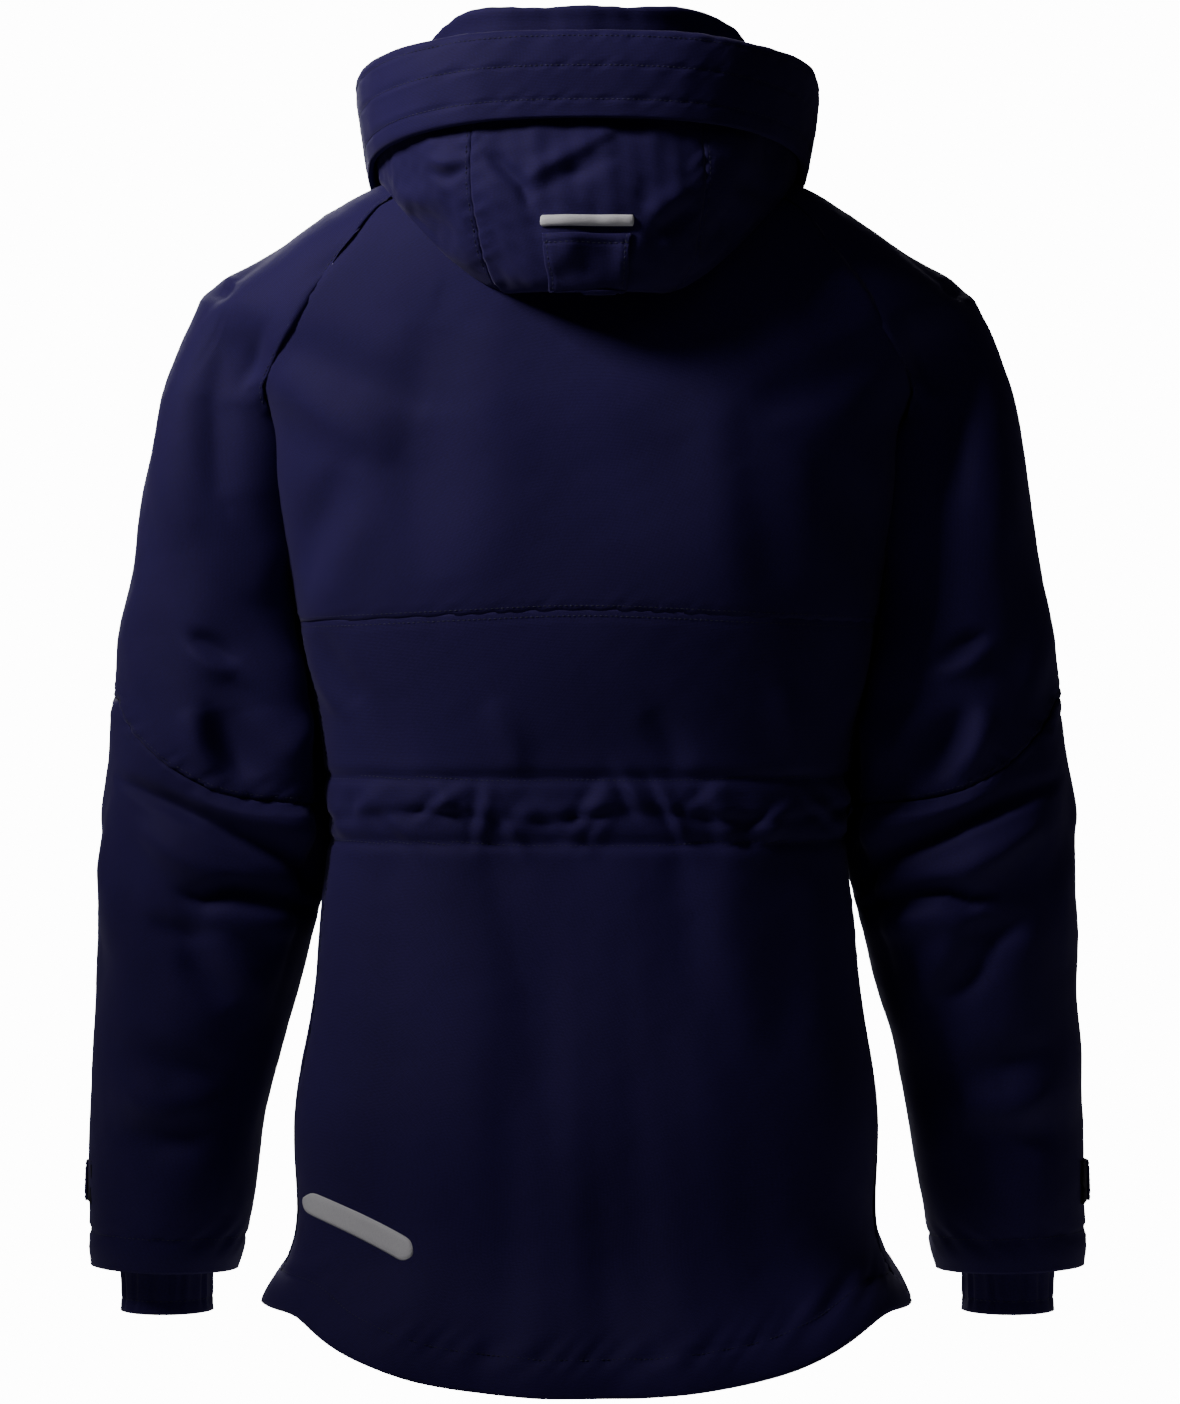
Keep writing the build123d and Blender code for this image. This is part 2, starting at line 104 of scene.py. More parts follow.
# the camera sees a white studio, the jacket is lit by a dim one
world = bpy.data.worlds.new("studio")
bpy.context.scene.world = world
world.use_nodes = True
tree = world.node_tree
tree.nodes.clear()
out, mix, path = (tree.nodes.new("ShaderNode" + kind) for kind in ("OutputWorld", "MixShader", "LightPath"))
tree.links.new(path.outputs["Is Camera Ray"], mix.inputs[0])
tree.links.new(mix.outputs[0], out.inputs[0])
for socket, color, strength in ((1, (0.92, 0.86, 1.0, 1), 0.014), (2, (1, 1, 1, 1), 14.0)):
    backdrop = tree.nodes.new("ShaderNodeBackground")
    backdrop.inputs[0].default_value = color
    backdrop.inputs[1].default_value = strength
    tree.links.new(backdrop.outputs[0], mix.inputs[socket])


# ---------------------------------------------------------------- materials
def rgb(r, g, b):
    """A linear colour from one picked on screen."""
    return tuple(c / 12.92 if c <= 0.04045 else ((c + 0.055) / 1.055) ** 2.4 for c in (r, g, b)) + (1,)


class Nodes:
    """A material's shader nodes."""

    def __init__(self, name):
        self.mat = bpy.data.materials.new(name)
        self.mat.use_nodes = True
        self.tree = self.mat.node_tree
        self.bsdf = self.tree.nodes["Principled BSDF"]

    def link(self, a, b):
        self.tree.links.new(a, b)

    def add(self, kind, vector=None, **values):
        """A node with its properties, or its sockets, whose spaces are written as underscores."""
        node = self.tree.nodes.new("ShaderNode" + kind)
        for key, value in values.items():
            if hasattr(node, key):
                setattr(node, key, value)
            else:
                node.inputs[key.replace("_", " ")].default_value = value
        if vector:
            self.link(vector, node.inputs["Vector"])
        return node

    def coords(self, uv, scale=(1, 1, 1)):
        place = self.add("TexCoord").outputs["UV" if uv else "Object"]
        return self.add("Mapping", place, Scale=scale).outputs[0]

    def math(self, op, a, b):
        node = self.add("Math", operation=op)
        for i, v in enumerate((a, b)):
            if isinstance(v, (int, float)):
                node.inputs[i].default_value = v
            else:
                self.link(v, node.inputs[i])
        return node.outputs[0]

    def color(self, value, margin, dark, light):
        node = self.add("ValToRGB")
        for stop, at, color in zip(node.color_ramp.elements, (margin, 1 - margin), (dark, light)):
            stop.position = at
            stop.color = color
        self.link(value, node.inputs[0])
        self.link(node.outputs[0], self.bsdf.inputs["Base Color"])

    def rough(self, value, swing, rough):
        """Roughness that varies by swing around rough."""
        uneven = self.math("ADD", self.math("MULTIPLY", value, swing), rough - swing / 2)
        self.link(uneven, self.bsdf.inputs["Roughness"])

    def bump(self, height, strength, distance):
        node = self.add("Bump", Strength=strength, Distance=distance)
        self.link(height, node.inputs["Height"])
        self.link(node.outputs[0], self.bsdf.inputs["Normal"])


def cloth(name, dark, light, thread=0.9, rough=0.78, sheen=0.12, uv=True, bump=0.35):
    """Plain-weave cloth: crossing threads of a width in mm, slubs, slight fading."""
    m = Nodes(name)
    threads = [m.add("TexWave", m.coords(uv), wave_type="BANDS", bands_direction=way,
                     Scale=1000.0 / thread / math.pi, Distortion=0.6, Detail=1.0, Detail_Scale=2.0)
               for way in ("X", "Y" if uv else "Z")]
    weave = m.math("MULTIPLY", threads[0].outputs["Fac"], threads[1].outputs["Fac"])
    slub = m.add("TexNoise", m.coords(uv, (1, 3.2, 1)), Scale=420.0, Detail=3.0).outputs["Fac"]
    fade = m.add("TexNoise", m.coords(uv), Scale=9.0, Detail=4.0).outputs["Fac"]
    mixed = m.math("ADD", m.math("MULTIPLY", weave, 0.45), m.math("MULTIPLY", slub, 0.45))
    m.color(m.math("ADD", mixed, m.math("MULTIPLY", fade, 0.25)), 0.25, rgb(*dark), rgb(*light))
    m.rough(slub, 0.16, rough)
    m.bsdf.inputs["Sheen Weight"].default_value = sheen
    m.bsdf.inputs["Sheen Roughness"].default_value = 0.45
    m.bsdf.inputs["Sheen Tint"].default_value = (0.68, 0.62, 0.95, 1)
    m.bsdf.inputs["Specular IOR Level"].default_value = 0.28
    m.bump(m.math("ADD", m.math("MULTIPLY", weave, 0.7), m.math("MULTIPLY", slub, 0.5)), bump, 0.00025)
    return m.mat


def plain(name, color, rough, metallic=0.0, scale=600.0, glow=0.0):
    """Moulded plastic or plated metal, with a faint grain and uneven gloss."""
    m = Nodes(name)
    grain = m.add("TexNoise", m.coords(False), Scale=scale, Detail=3.0).outputs["Fac"]
    color = rgb(*color)[:3]
    m.color(grain, 0.3, tuple(c * 0.8 for c in color) + (1,), tuple(min(1.0, c * 1.25) for c in color) + (1,))
    m.rough(grain, 0.2, rough)
    m.bsdf.inputs["Metallic"].default_value = metallic
    m.bump(grain, 0.15, 0.0002)
    if glow:
        m.bsdf.inputs["Emission Color"].default_value = (1, 1, 1, 1)
        seen = m.add("LightPath").outputs["Is Camera Ray"]
        m.link(m.math("MULTIPLY", seen, glow), m.bsdf.inputs["Emission Strength"])
    return m.mat


NAVY = cloth("navy_shell", (0.090, 0.046, 0.235), (0.186, 0.125, 0.415))
MESH = cloth("lining_mesh", (0.07, 0.07, 0.10), (0.17, 0.17, 0.22), thread=2.4, sheen=0.05)
FLEECE = cloth("collar_fleece", (0.08, 0.08, 0.14), (0.17, 0.17, 0.25), thread=1.6, sheen=0.35,
               rough=0.9, bump=0.8)
THREAD = plain("sewing_thread", (0.17, 0.17, 0.29), 0.62, scale=2500)
TAPE_GREY = cloth("reflective_grey", (0.86, 0.86, 0.88), (0.97, 0.97, 0.98), thread=0.7, rough=0.42,
                  sheen=0.0, bump=0.2)
HOOK = cloth("hook_tape", (0.03, 0.03, 0.035), (0.12, 0.12, 0.13), thread=1.1, rough=0.9, sheen=0.1,
             uv=False, bump=1.0)
ZIP_TAPE = cloth("zip_tape_cloth", (0.07, 0.07, 0.12), (0.15, 0.15, 0.22), thread=0.6, uv=False)
PLASTIC = plain("zip_plastic", (0.10, 0.10, 0.13), 0.45)
METAL = plain("dark_nickel", (0.42, 0.42, 0.44), 0.32, metallic=1.0)
WEBBING = cloth("loop_webbing", (0.06, 0.06, 0.08), (0.16, 0.16, 0.2), thread=1.2, uv=False, bump=0.6)
ELASTIC = cloth("ribbed_elastic", (0.10, 0.10, 0.11), (0.22, 0.22, 0.24), thread=1.8, uv=False, bump=0.8)
FLOOR = plain("pale_floor", (0.93, 0.93, 0.93), 0.9, scale=900.0, glow=1.6)

FLOOR_RADIUS, FLOOR_DROP, FLOOR_SIDES = 2.6, 0.45, 96
floor_mesh = bpy.data.meshes.new("floor")
ring = [(FLOOR_RADIUS * math.cos(a), FLOOR_RADIUS * math.sin(a), 0.0)
        for a in np.linspace(0, FULL, FLOOR_SIDES, endpoint=False)]
floor_mesh.from_pydata(ring, [], [list(range(FLOOR_SIDES))])
floor_mesh.materials.append(FLOOR)
floor = link(bpy.data.objects.new("floor", floor_mesh))
floor.location.z = CAD_BOX[0][2] - FLOOR_DROP


# ---------------------------------------------------------------- grids and lines
def tree_of(*pieces):
    """A ray tree over CAD nodes at rest, given by name, or finished panels."""
    points, faces = [], []
    for piece in pieces:
        mesh = nodes[piece].data if isinstance(piece, str) else piece.obj.data
        base = len(points)
        points.extend(v.co.copy() for v in mesh.vertices)
        faces.extend([base + i for i in p.vertices] for p in mesh.polygons)
    return BVHTree.FromPolygons(points, faces)


def smooth_rows(values, sigma, wrap):
    """Gaussian smoothing down the first axis."""
    reach = max(1, int(3 * sigma))
    kernel = np.exp(-0.5 * (np.arange(-reach, reach + 1) / sigma) ** 2)
    kernel /= kernel.sum()
    if wrap:
        padded = np.concatenate([values[-reach:], values, values[:reach]])
    else:
        first = 2 * values[:1] - values[reach:0:-1]
        last = 2 * values[-1:] - values[-2:-reach - 2:-1]
        padded = np.concatenate([first, values, last])
    out = np.zeros_like(values)
    for k, w in enumerate(kernel):
        out += w * padded[k:k + len(values)]
    return out


def smooth_grid(grid, down, across, wrap=False):
    """Smoothing down the rows of a grid, then across its columns."""
    grid = smooth_rows(grid, down, False)
    return np.swapaxes(smooth_rows(np.swapaxes(grid, 0, 1), across, wrap), 0, 1)


def fill_gaps(row):
    """Interpolate over the rays of one ring that missed."""
    bad = np.isnan(row)
    if bad.all() or not bad.any():
        return row
    at = np.arange(len(row))
    good = ~bad
    wrapped = np.concatenate([at[good] - len(row), at[good], at[good] + len(row)])
    row[bad] = np.interp(at[bad], wrapped, np.tile(row[good], 3))
    return row


def fill_open(points):
    """Interpolate missing points down a list."""
    at = np.arange(len(points))
    good = ~np.isnan(points[:, 0])
    for k in range(points.shape[1]):
        points[:, k] = np.interp(at, at[good], points[good, k])
    return points


def look_up(table, a, b):
    """Bilinear reading of a table at fractional row a and column b."""
    a = np.clip(a, 0, table.shape[0] - 1.001)
    b = np.clip(b, 0, table.shape[1] - 1.001)
    i = a.astype(int)
    j = b.astype(int)
    u = (a - i)[..., None]
    v = (b - j)[..., None]
    top = table[i, j] * (1 - v) + table[i, j + 1] * v
    low = table[i + 1, j] * (1 - v) + table[i + 1, j + 1] * v
    return top * (1 - u) + low * u


def run_of(points):
    """Length along a polyline at each of its points."""
    return np.concatenate([[0], np.cumsum(np.linalg.norm(np.diff(points, axis=0), axis=1))])


def read_at(points, run, want):
    """Where a polyline is at the lengths wanted."""
    return np.stack([np.interp(want, run, points[:, k]) for k in range(points.shape[1])], axis=-1)


def spread(points, count):
    """A polyline with its points evenly spaced along it."""
    run = run_of(points)
    return read_at(points, run, np.linspace(0, run[-1], count))


def along(points, share):
    """The point at a share of a polyline's length."""
    run = run_of(points)
    return read_at(points, run / run[-1], share)


def smooth_open(points, sigma=2.0):
    """A polyline smoothed between its two ends."""
    out = smooth_rows(spread(points, 240), sigma, False)
    out[0], out[-1] = points[0], points[-1]
    return out


def dent(run, at, width, power=2):
    """A bell of height 1 where run passes at."""
    return np.exp(-((run - at) / width) ** power)


# ---------------------------------------------------------------- folds
def ripple(p, low, high, count, seed, stretch=(1, 1, 1)):
    """A smooth random field from sine waves between two wavelengths."""
    r = np.random.default_rng(seed)
    total = np.zeros(p.shape[:-1])
    q = p * np.array(stretch)
    for _ in range(count):
        d = r.normal(size=3)
        d /= np.linalg.norm(d)
        length = low * (high / low) ** r.random()
        total += np.sin(q @ d * (2 * math.pi / length) + r.random() * 6.283)
    return total / math.sqrt(count)


def stroke_field(p, strokes):
    """Height added by listed folds.

    Each stroke is (points in X and Z in millimetres, width, height, skew): a ridge for a positive
    height and a crease for a negative one. skew pushes the steep side to the right or left.
    """
    xz = p[..., [0, 2]] * 1000.0
    total = np.zeros(p.shape[:-1])
    for points, width, height, skew in strokes:
        q = np.array(points, float)
        low = q.min(0) - 4 * width
        high = q.max(0) + 4 * width
        inside = ((xz > low) & (xz < high)).all(-1)
        if not inside.any():
            continue
        sub = xz[inside]
        best = np.full(len(sub), 1e9)
        side = np.zeros(len(sub))
        where = np.zeros(len(sub))
        step = np.linalg.norm(np.diff(q, axis=0), axis=1)
        run = np.concatenate([[0], np.cumsum(step)])
        for k in range(len(q) - 1):
            d = q[k + 1] - q[k]
            t = np.clip(((sub - q[k]) @ d) / (d @ d), 0, 1)
            off = sub - (q[k] + t[:, None] * d)
            dist = np.linalg.norm(off, axis=1)
            cross = d[0] * off[:, 1] - d[1] * off[:, 0]
            near = dist < best
            best[near] = dist[near]
            side[near] = np.sign(cross[near])
            where[near] = (run[k] + t[near] * step[k]) / run[-1]
        taper = np.sin(np.pi * np.clip(where, 0.0, 1.0) * 0.94 + 0.094) ** 0.7
        w = width * (0.7 + 0.5 * taper) * np.where(side > 0, 1 - 0.5 * skew, 1 + 0.5 * skew)
        total[inside] += height * taper * np.exp(-(best / w) ** 2)
    return total * MM


def normals_of(p, wrap):
    """Unit normals of a grid of points, rows by columns."""
    if wrap:
        dc = np.roll(p, -1, 1) - np.roll(p, 1, 1)
    else:
        dc = np.gradient(p, axis=1)
    dr = np.gradient(p, axis=0)
    n = np.cross(dc, dr)
    return n / np.maximum(np.linalg.norm(n, axis=-1, keepdims=True), 1e-9)


# ---------------------------------------------------------------- mesh building
def make_object(name, verts, faces, material, body, stands_for=(), uvs=None, smooth=True):
    mesh = bpy.data.meshes.new(name)
    mesh.from_pydata(verts, [], faces)
    mesh.materials.append(material)
    if uvs is not None:
        layer = mesh.uv_layers.new(name="cloth")
        loops = np.zeros(len(mesh.loops), np.int32)
        mesh.loops.foreach_get("vertex_index", loops)
        layer.data.foreach_set("uv", np.asarray(uvs, np.float32)[loops].ravel())
    mesh.polygons.foreach_set("use_smooth", [smooth] * len(mesh.polygons))
    mesh.update()
    obj = link(bpy.data.objects.new(name, mesh))
    if body is not None:
        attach(obj, body)
    if stands_for:
        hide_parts(*stands_for)
    return obj


def add_solid(verts, faces, rings):
    """Add a closed solid through rings of points to a mesh's lists."""
    n = len(rings[0])
    base, last = len(verts), len(verts) + n * (len(rings) - 1)
    verts.extend(tuple(p) for ring in rings for p in ring)
    for a in range(base, last, n):
        faces.extend((a + t, a + (t + 1) % n, a + n + (t + 1) % n, a + n + t) for t in range(n))
    faces.append(tuple(range(base + n - 1, base - 1, -1)))
    faces.append(tuple(range(last, last + n)))


class Panel:
    """A piece of cloth as a grid: outer face, inner face and rims.

    points are rows by columns. The normals leave the cloth outward: at is a row and a column, and
    toward is a direction on the outer side there. thick is in millimetres.
    """

    def __init__(self, name, points, at, toward, thick=1.0, wrap=False, mask=None):
        self.name = name
        self.p = points
        self.wrap = wrap
        self.thick = thick * MM
        self.mask = np.ones(points.shape[:2], bool) if mask is None else mask
        self.n = normals_of(points, wrap)
        self.out = -1 if self.n[at] @ np.asarray(toward, float) < 0 else 1
        self.n = self.n * self.out

    def move(self, points):
        self.p = points
        self.n = normals_of(points, self.wrap) * self.out

    def push(self, height):
        """Move the outer face along its normals by metres."""
        self.move(self.p + self.n * height[..., None])

    def mirror(self, m):
        """Carry a piece shaped on the wearer's left over to its own side."""
        self.p = self.p * (m, 1, 1)
        self.n = self.n * (m, 1, 1)
        self.out *= m

    def run(self, axis, back):
        """Length along the grid from one edge."""
        p = self.p if not back else np.flip(self.p, axis)
        run = np.cumsum(np.linalg.norm(np.diff(p, axis=axis), axis=-1), axis=axis)
        run = np.concatenate([np.zeros_like(run.take([0], axis)), run], axis=axis)
        return np.flip(run, axis) if back else run

    def side(self, letter):
        """Length from the top, bottom, left or right edge."""
        return self.run(int(letter in "lr"), letter in "br")

    def edge(self, letters="tblr"):
        """Length from the nearest of some edges."""
        return np.minimum.reduce([self.side(s) for s in letters])

    def build(self, material, body, slot, *stands_for):
        """The finished mesh, without the vertices that no face uses."""
        rows, cols = self.p.shape[:2]
        count = rows * cols
        faces = []
        for i in range(rows - 1):
            for j in range(cols if self.wrap else cols - 1):
                k = (j + 1) % cols
                if self.mask[i:i + 2, [j, k]].all():
                    quad = (i * cols + j, i * cols + k, (i + 1) * cols + k, (i + 1) * cols + j)
                    faces.append(quad[::-1] if self.out < 0 else quad)
        edges = dict.fromkeys((a, b) for f in faces for a, b in zip(f, f[1:] + f[:1]))
        faces += [tuple(count + v for v in f[::-1]) for f in faces]
        faces += [(b, a, a + count, b + count) for a, b in edges if (b, a) not in edges]
        verts = np.concatenate([self.p.reshape(-1, 3), (self.p - self.n * self.thick).reshape(-1, 3)])
        uvs = np.stack([self.run(1, False), self.run(0, False)], axis=-1).reshape(-1, 2)
        uvs = np.concatenate([uvs, uvs + 0.37])
        used = np.unique(faces)
        self.obj = make_object(self.name, verts[used].tolist(), np.searchsorted(used, faces).tolist(),
                               material, body, stands_for, uvs[used])


STITCH_PITCH, STITCH_LENGTH, STITCH_RADIUS = 3.3 * MM, 2.3 * MM, 0.28 * MM
STITCH_AROUND = [FULL * t / 5 for t in range(5)]
STITCHES = {}


def sew(body, points, nrm, lift=0.12):
    """Stitches along a line: short rounded threads that dive in at both ends, lift in millimetres."""
    if len(points) < 2:
        return
    run = run_of(points)
    count = int(run[-1] / STITCH_PITCH)
    verts, faces = STITCHES.setdefault(body, ([], []))
    dive = lift * MM - STITCH_RADIUS * 1.6
    for k in range(count):
        mid = (k + 0.5) * run[-1] / count
        n = read_at(nrm, run, mid)
        n /= max(np.linalg.norm(n), 1e-9)
        rings = []
        for share, height in ((-0.5, dive), (-0.2, lift * MM), (0.2, lift * MM), (0.5, dive)):
            at = mid + share * STITCH_LENGTH
            centre = read_at(points, run, at) + n * height
            d = read_at(points, run, at + 0.0003) - read_at(points, run, at - 0.0003)
            s = np.cross(n, d / max(np.linalg.norm(d), 1e-9))
            rings.append([centre + (s * math.cos(a) + n * math.sin(a)) * STITCH_RADIUS for a in STITCH_AROUND])
        add_solid(verts, faces, rings)


def stitch_along(panel, body, axis, distance, back=False, start=0.0):
    """A sewn line at a distance in millimetres from an edge, in the groove that it pulls in."""
    panel.push(-0.55 * MM * dent(panel.run(axis, back), distance * MM, 1.3 * MM))
    d = panel.run(axis, back) - distance * MM
    p, n = panel.p, panel.n
    if axis:
        p, n, d = np.swapaxes(p, 0, 1), np.swapaxes(n, 0, 1), d.T
    pts, nrm = [], []
    for j in range(int(start * (d.shape[1] - 1)), d.shape[1]):
        col = d[:, j]
        i = int(np.argmin(np.abs(col)))
        if abs(col[i]) > 0.004:
            continue
        k = min(max(i + (1 if (col[i] < 0) != back else -1), 0), len(col) - 1)
        t = 0 if k == i else min(max(col[i] / (col[i] - col[k] + 1e-12), 0.0), 1.0)
        pts.append(p[i, j] * (1 - t) + p[k, j] * t)
        nrm.append(n[i, j])
    if len(pts) > 3:
        pts = smooth_rows(np.array(pts), 1.0, False)
        sew(body, spread(pts, len(pts)), smooth_rows(np.array(nrm), 1.0, False))


def stitch_lines(panel, body, *lines):
    """Several sewn lines, each an axis, a distance and whether it is measured from the far edge."""
    for line in lines:
        stitch_along(panel, body, *line)


def sew_ring(panel, body, distance, normal_row, run=None):
    """Stitches round a tube at a distance in metres from its lower edge."""
    run = panel.run(0, True) if run is None else run
    pts = [read_at(panel.p[::-1, j], run[::-1, j], distance) for j in range(panel.p.shape[1])]
    sew(body, np.array(pts + pts[:1]), np.concatenate([panel.n[normal_row], panel.n[normal_row, :1]]))


def puckers(p, run, width=0.010, size=0.0003, pitch=0.0095, seed=0):
    """Small ripples that a seam pulls into the cloth beside it."""
    s = p[..., 0] * 0.7 + p[..., 2] * 0.9 + p[..., 1] * 0.4
    wobble = (np.sin(FULL * s / pitch + 2.2 * np.sin(s * 90 + seed))
              + 0.6 * np.sin(FULL * s / (pitch * 1.7) + seed))
    return size * wobble * dent(run, 0, width)


def finish_edges(panel, sides, seed):
    """Sewn edges: the cloth dips into the seam and puckers beside it."""
    for s in sides:
        run = panel.side(s)
        panel.push(puckers(panel.p, run, seed=seed) - 0.45 * MM * dent(run, 0, 0.9 * MM))


def tuck_under(panel, run, width, where=1.0):
    """Lower an edge so that it lies under the piece sewn on over it."""
    panel.push(-0.0015 * dent(run, 0, width, 6) * where)


def unit(v):
    return v / np.linalg.norm(v, axis=-1, keepdims=True)


def heights_of(node):
    """Lowest and highest Z of a CAD node."""
    return (corner[2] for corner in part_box(node))


def around(a, m=1):
    """The horizontal direction at an angle, mirrored for the wearer's right."""
    return Vector((math.cos(a) * m, math.sin(a), 0))


# ---------------------------------------------------------------- the trunk's surface
BACK, FRONT = (0, 1, 0), (0, -1, 0)
SIDE_Y, HEM_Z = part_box("back_panel")[0][1:]
YOKE_Z, TOP_Z = heights_of("back_yoke")
WAIST_TOP, WAIST_LOW = YOKE_Z - 0.105, YOKE_Z - 0.146
WAIST_MID = (WAIST_TOP + WAIST_LOW) / 2
ZIP_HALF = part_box("front_panel_left")[0][0]
TRUNK_TREE = tree_of("back_panel", "back_yoke", "front_panel_left", "front_panel_right",
                     "shoulder_panel_left", "shoulder_panel_right")
TURN = 480
LEVEL = 0.004
MISS = np.full(3, np.nan)
RAGLAN_X = (80, 107, 133, 154, 187, 203, 211, 216)
RAGLAN_Z = (5, -14, -31, -60, -107, -136, -157, -172)
RAGLAN_LOW = RAGLAN_Z[-1] * MM
TUCK_TURN = 0.02


class Trunk:
    """The body's outer surface as a radius for each angle round the side seams' line and height."""

    def __init__(self):
        self.z = np.arange(HEM_Z - LEVEL, TOP_Z - 0.003, LEVEL)
        table = np.full((len(self.z), TURN), np.nan)
        for i, z in enumerate(self.z):
            for j in range(TURN):
                out = around(j * FULL / TURN)
                hit = TRUNK_TREE.ray_cast(Vector((0, SIDE_Y, z)) + out * 0.6, -out, 0.59)
                if hit[0] is not None and hit[3] < 0.54:
                    table[i, j] = 0.6 - hit[3]
        self.hit = ~np.isnan(table)
        for row, seen in zip(table, self.hit):
            row[row < 0.3 * (np.nanmedian(row) if seen.any() else 0.15)] = np.nan
            fill_gaps(row)
        for col, seen in zip(table.T, self.hit.T):
            if seen.any():
                col[:np.argmax(seen)] = col[np.argmax(seen)]
        table = smooth_rows(smooth_rows(table, 2.0, False).T, 2.5, True).T
        self.table = np.concatenate([table, table[:, :1]], axis=1)[..., None]

    def at(self, angle, z):
        """Points for arrays of angle and height."""
        r = look_up(self.table, (z - self.z[0]) / LEVEL, (angle % FULL) / FULL * TURN)[..., 0]
        return np.stack([r * np.cos(angle), SIDE_Y + r * np.sin(angle), z], axis=-1)


trunk = Trunk()


def hem_height(a):
    """Height of the panels' lower edge at an angle."""
    d = around(a)
    for z in np.arange(HEM_Z, HEM_Z + 0.1, 0.001):
        if TRUNK_TREE.ray_cast(Vector((0, SIDE_Y, z)) + d * 0.5, -d, 0.44)[0] is not None:
            return z
    return np.nan


HEM_ANGLE = np.linspace(0, FULL, 240)
HEM_AT = smooth_rows(fill_open(np.array([[hem_height(a)] for a in HEM_ANGLE])), 2.0, False)[:, 0]


def hem_of(angle):
    return np.interp(angle % FULL, HEM_ANGLE, HEM_AT) + 0.0025


SIDE_HEM = float(hem_of(np.array([0.02]))[0])


def raglan_angle(z, front):
    """The angle on the wearer's left where the raglan seam crosses this height."""
    x_seam = np.interp(-z * 1000, [-v for v in RAGLAN_Z], RAGLAN_X) * MM
    if z < RAGLAN_Z[-1] * MM:
        return 2 * math.pi if front else 0.0
    sweep = np.linspace(1.5 * math.pi + 0.05, 2 * math.pi, 200) if front else np.linspace(0, math.pi / 2, 200)
    xs = trunk.at(sweep, np.full(200, z))[:, 0]
    order = xs if front else xs[::-1]
    if x_seam >= order.max():
        return 2 * math.pi if front else 0.0
    k = int(np.argmax(order >= x_seam))
    return float(sweep[k] if front else sweep[::-1][k])


# ---------------------------------------------------------------- the trunk's panels
WAVES = np.random.default_rng(11)
# of each gather: place round the waist, width, lean, size, height and reach
GATHERS = [(-0.25 + 0.5 * (k + WAVES.uniform(-0.7, 0.7)) / 30, WAVES.uniform(0.005, 0.010),
            WAVES.uniform(-1.3, 1.3), WAVES.uniform(0.5, 1.3), WAVES.uniform(-0.014, 0.012),
            WAVES.uniform(0.009, 0.019)) for k in range(30)]
FRONT_SHIFT = 1.0


def gather(p):
    """The elastic waist: a cinched channel with short slanting tucks, a few running on above and below."""
    s = p[..., 0] * 1.12 + np.where(p[..., 1] > SIDE_Y, 0, FRONT_SHIFT)
    z = p[..., 2] - WAIST_MID
    total = np.zeros(p.shape[:-1])
    for at, width, lean, size, up, reach in GATHERS:
        for shift in (0.0, FRONT_SHIFT):
            off = (s - at - shift + lean * z) / width
            near = np.abs(off) < 4
            off = off[near]
            total[near] += size * (dent(off, 0, 1) - 0.6 * dent(off, 1.4, 0.7)) * dent(z[near], up, reach)
    channel = dent(z, 0, 0.030, 4)
    cinch = -0.0022 * (dent(z, 0.0205, 0.0045) + dent(z, -0.0205, 0.0045))
    level = z + 0.003 * np.sin(s * 40) + 0.004
    crease = (0.0016 * dent(level, 0.006, 0.006) - 0.0026 * dent(level, 0, 0.0036)) * (0.7 + 0.3 * np.sin(s * 61 + 1))
    return 0.0030 * total * (0.2 + 0.8 * channel) + cinch + crease + 0.001 * channel


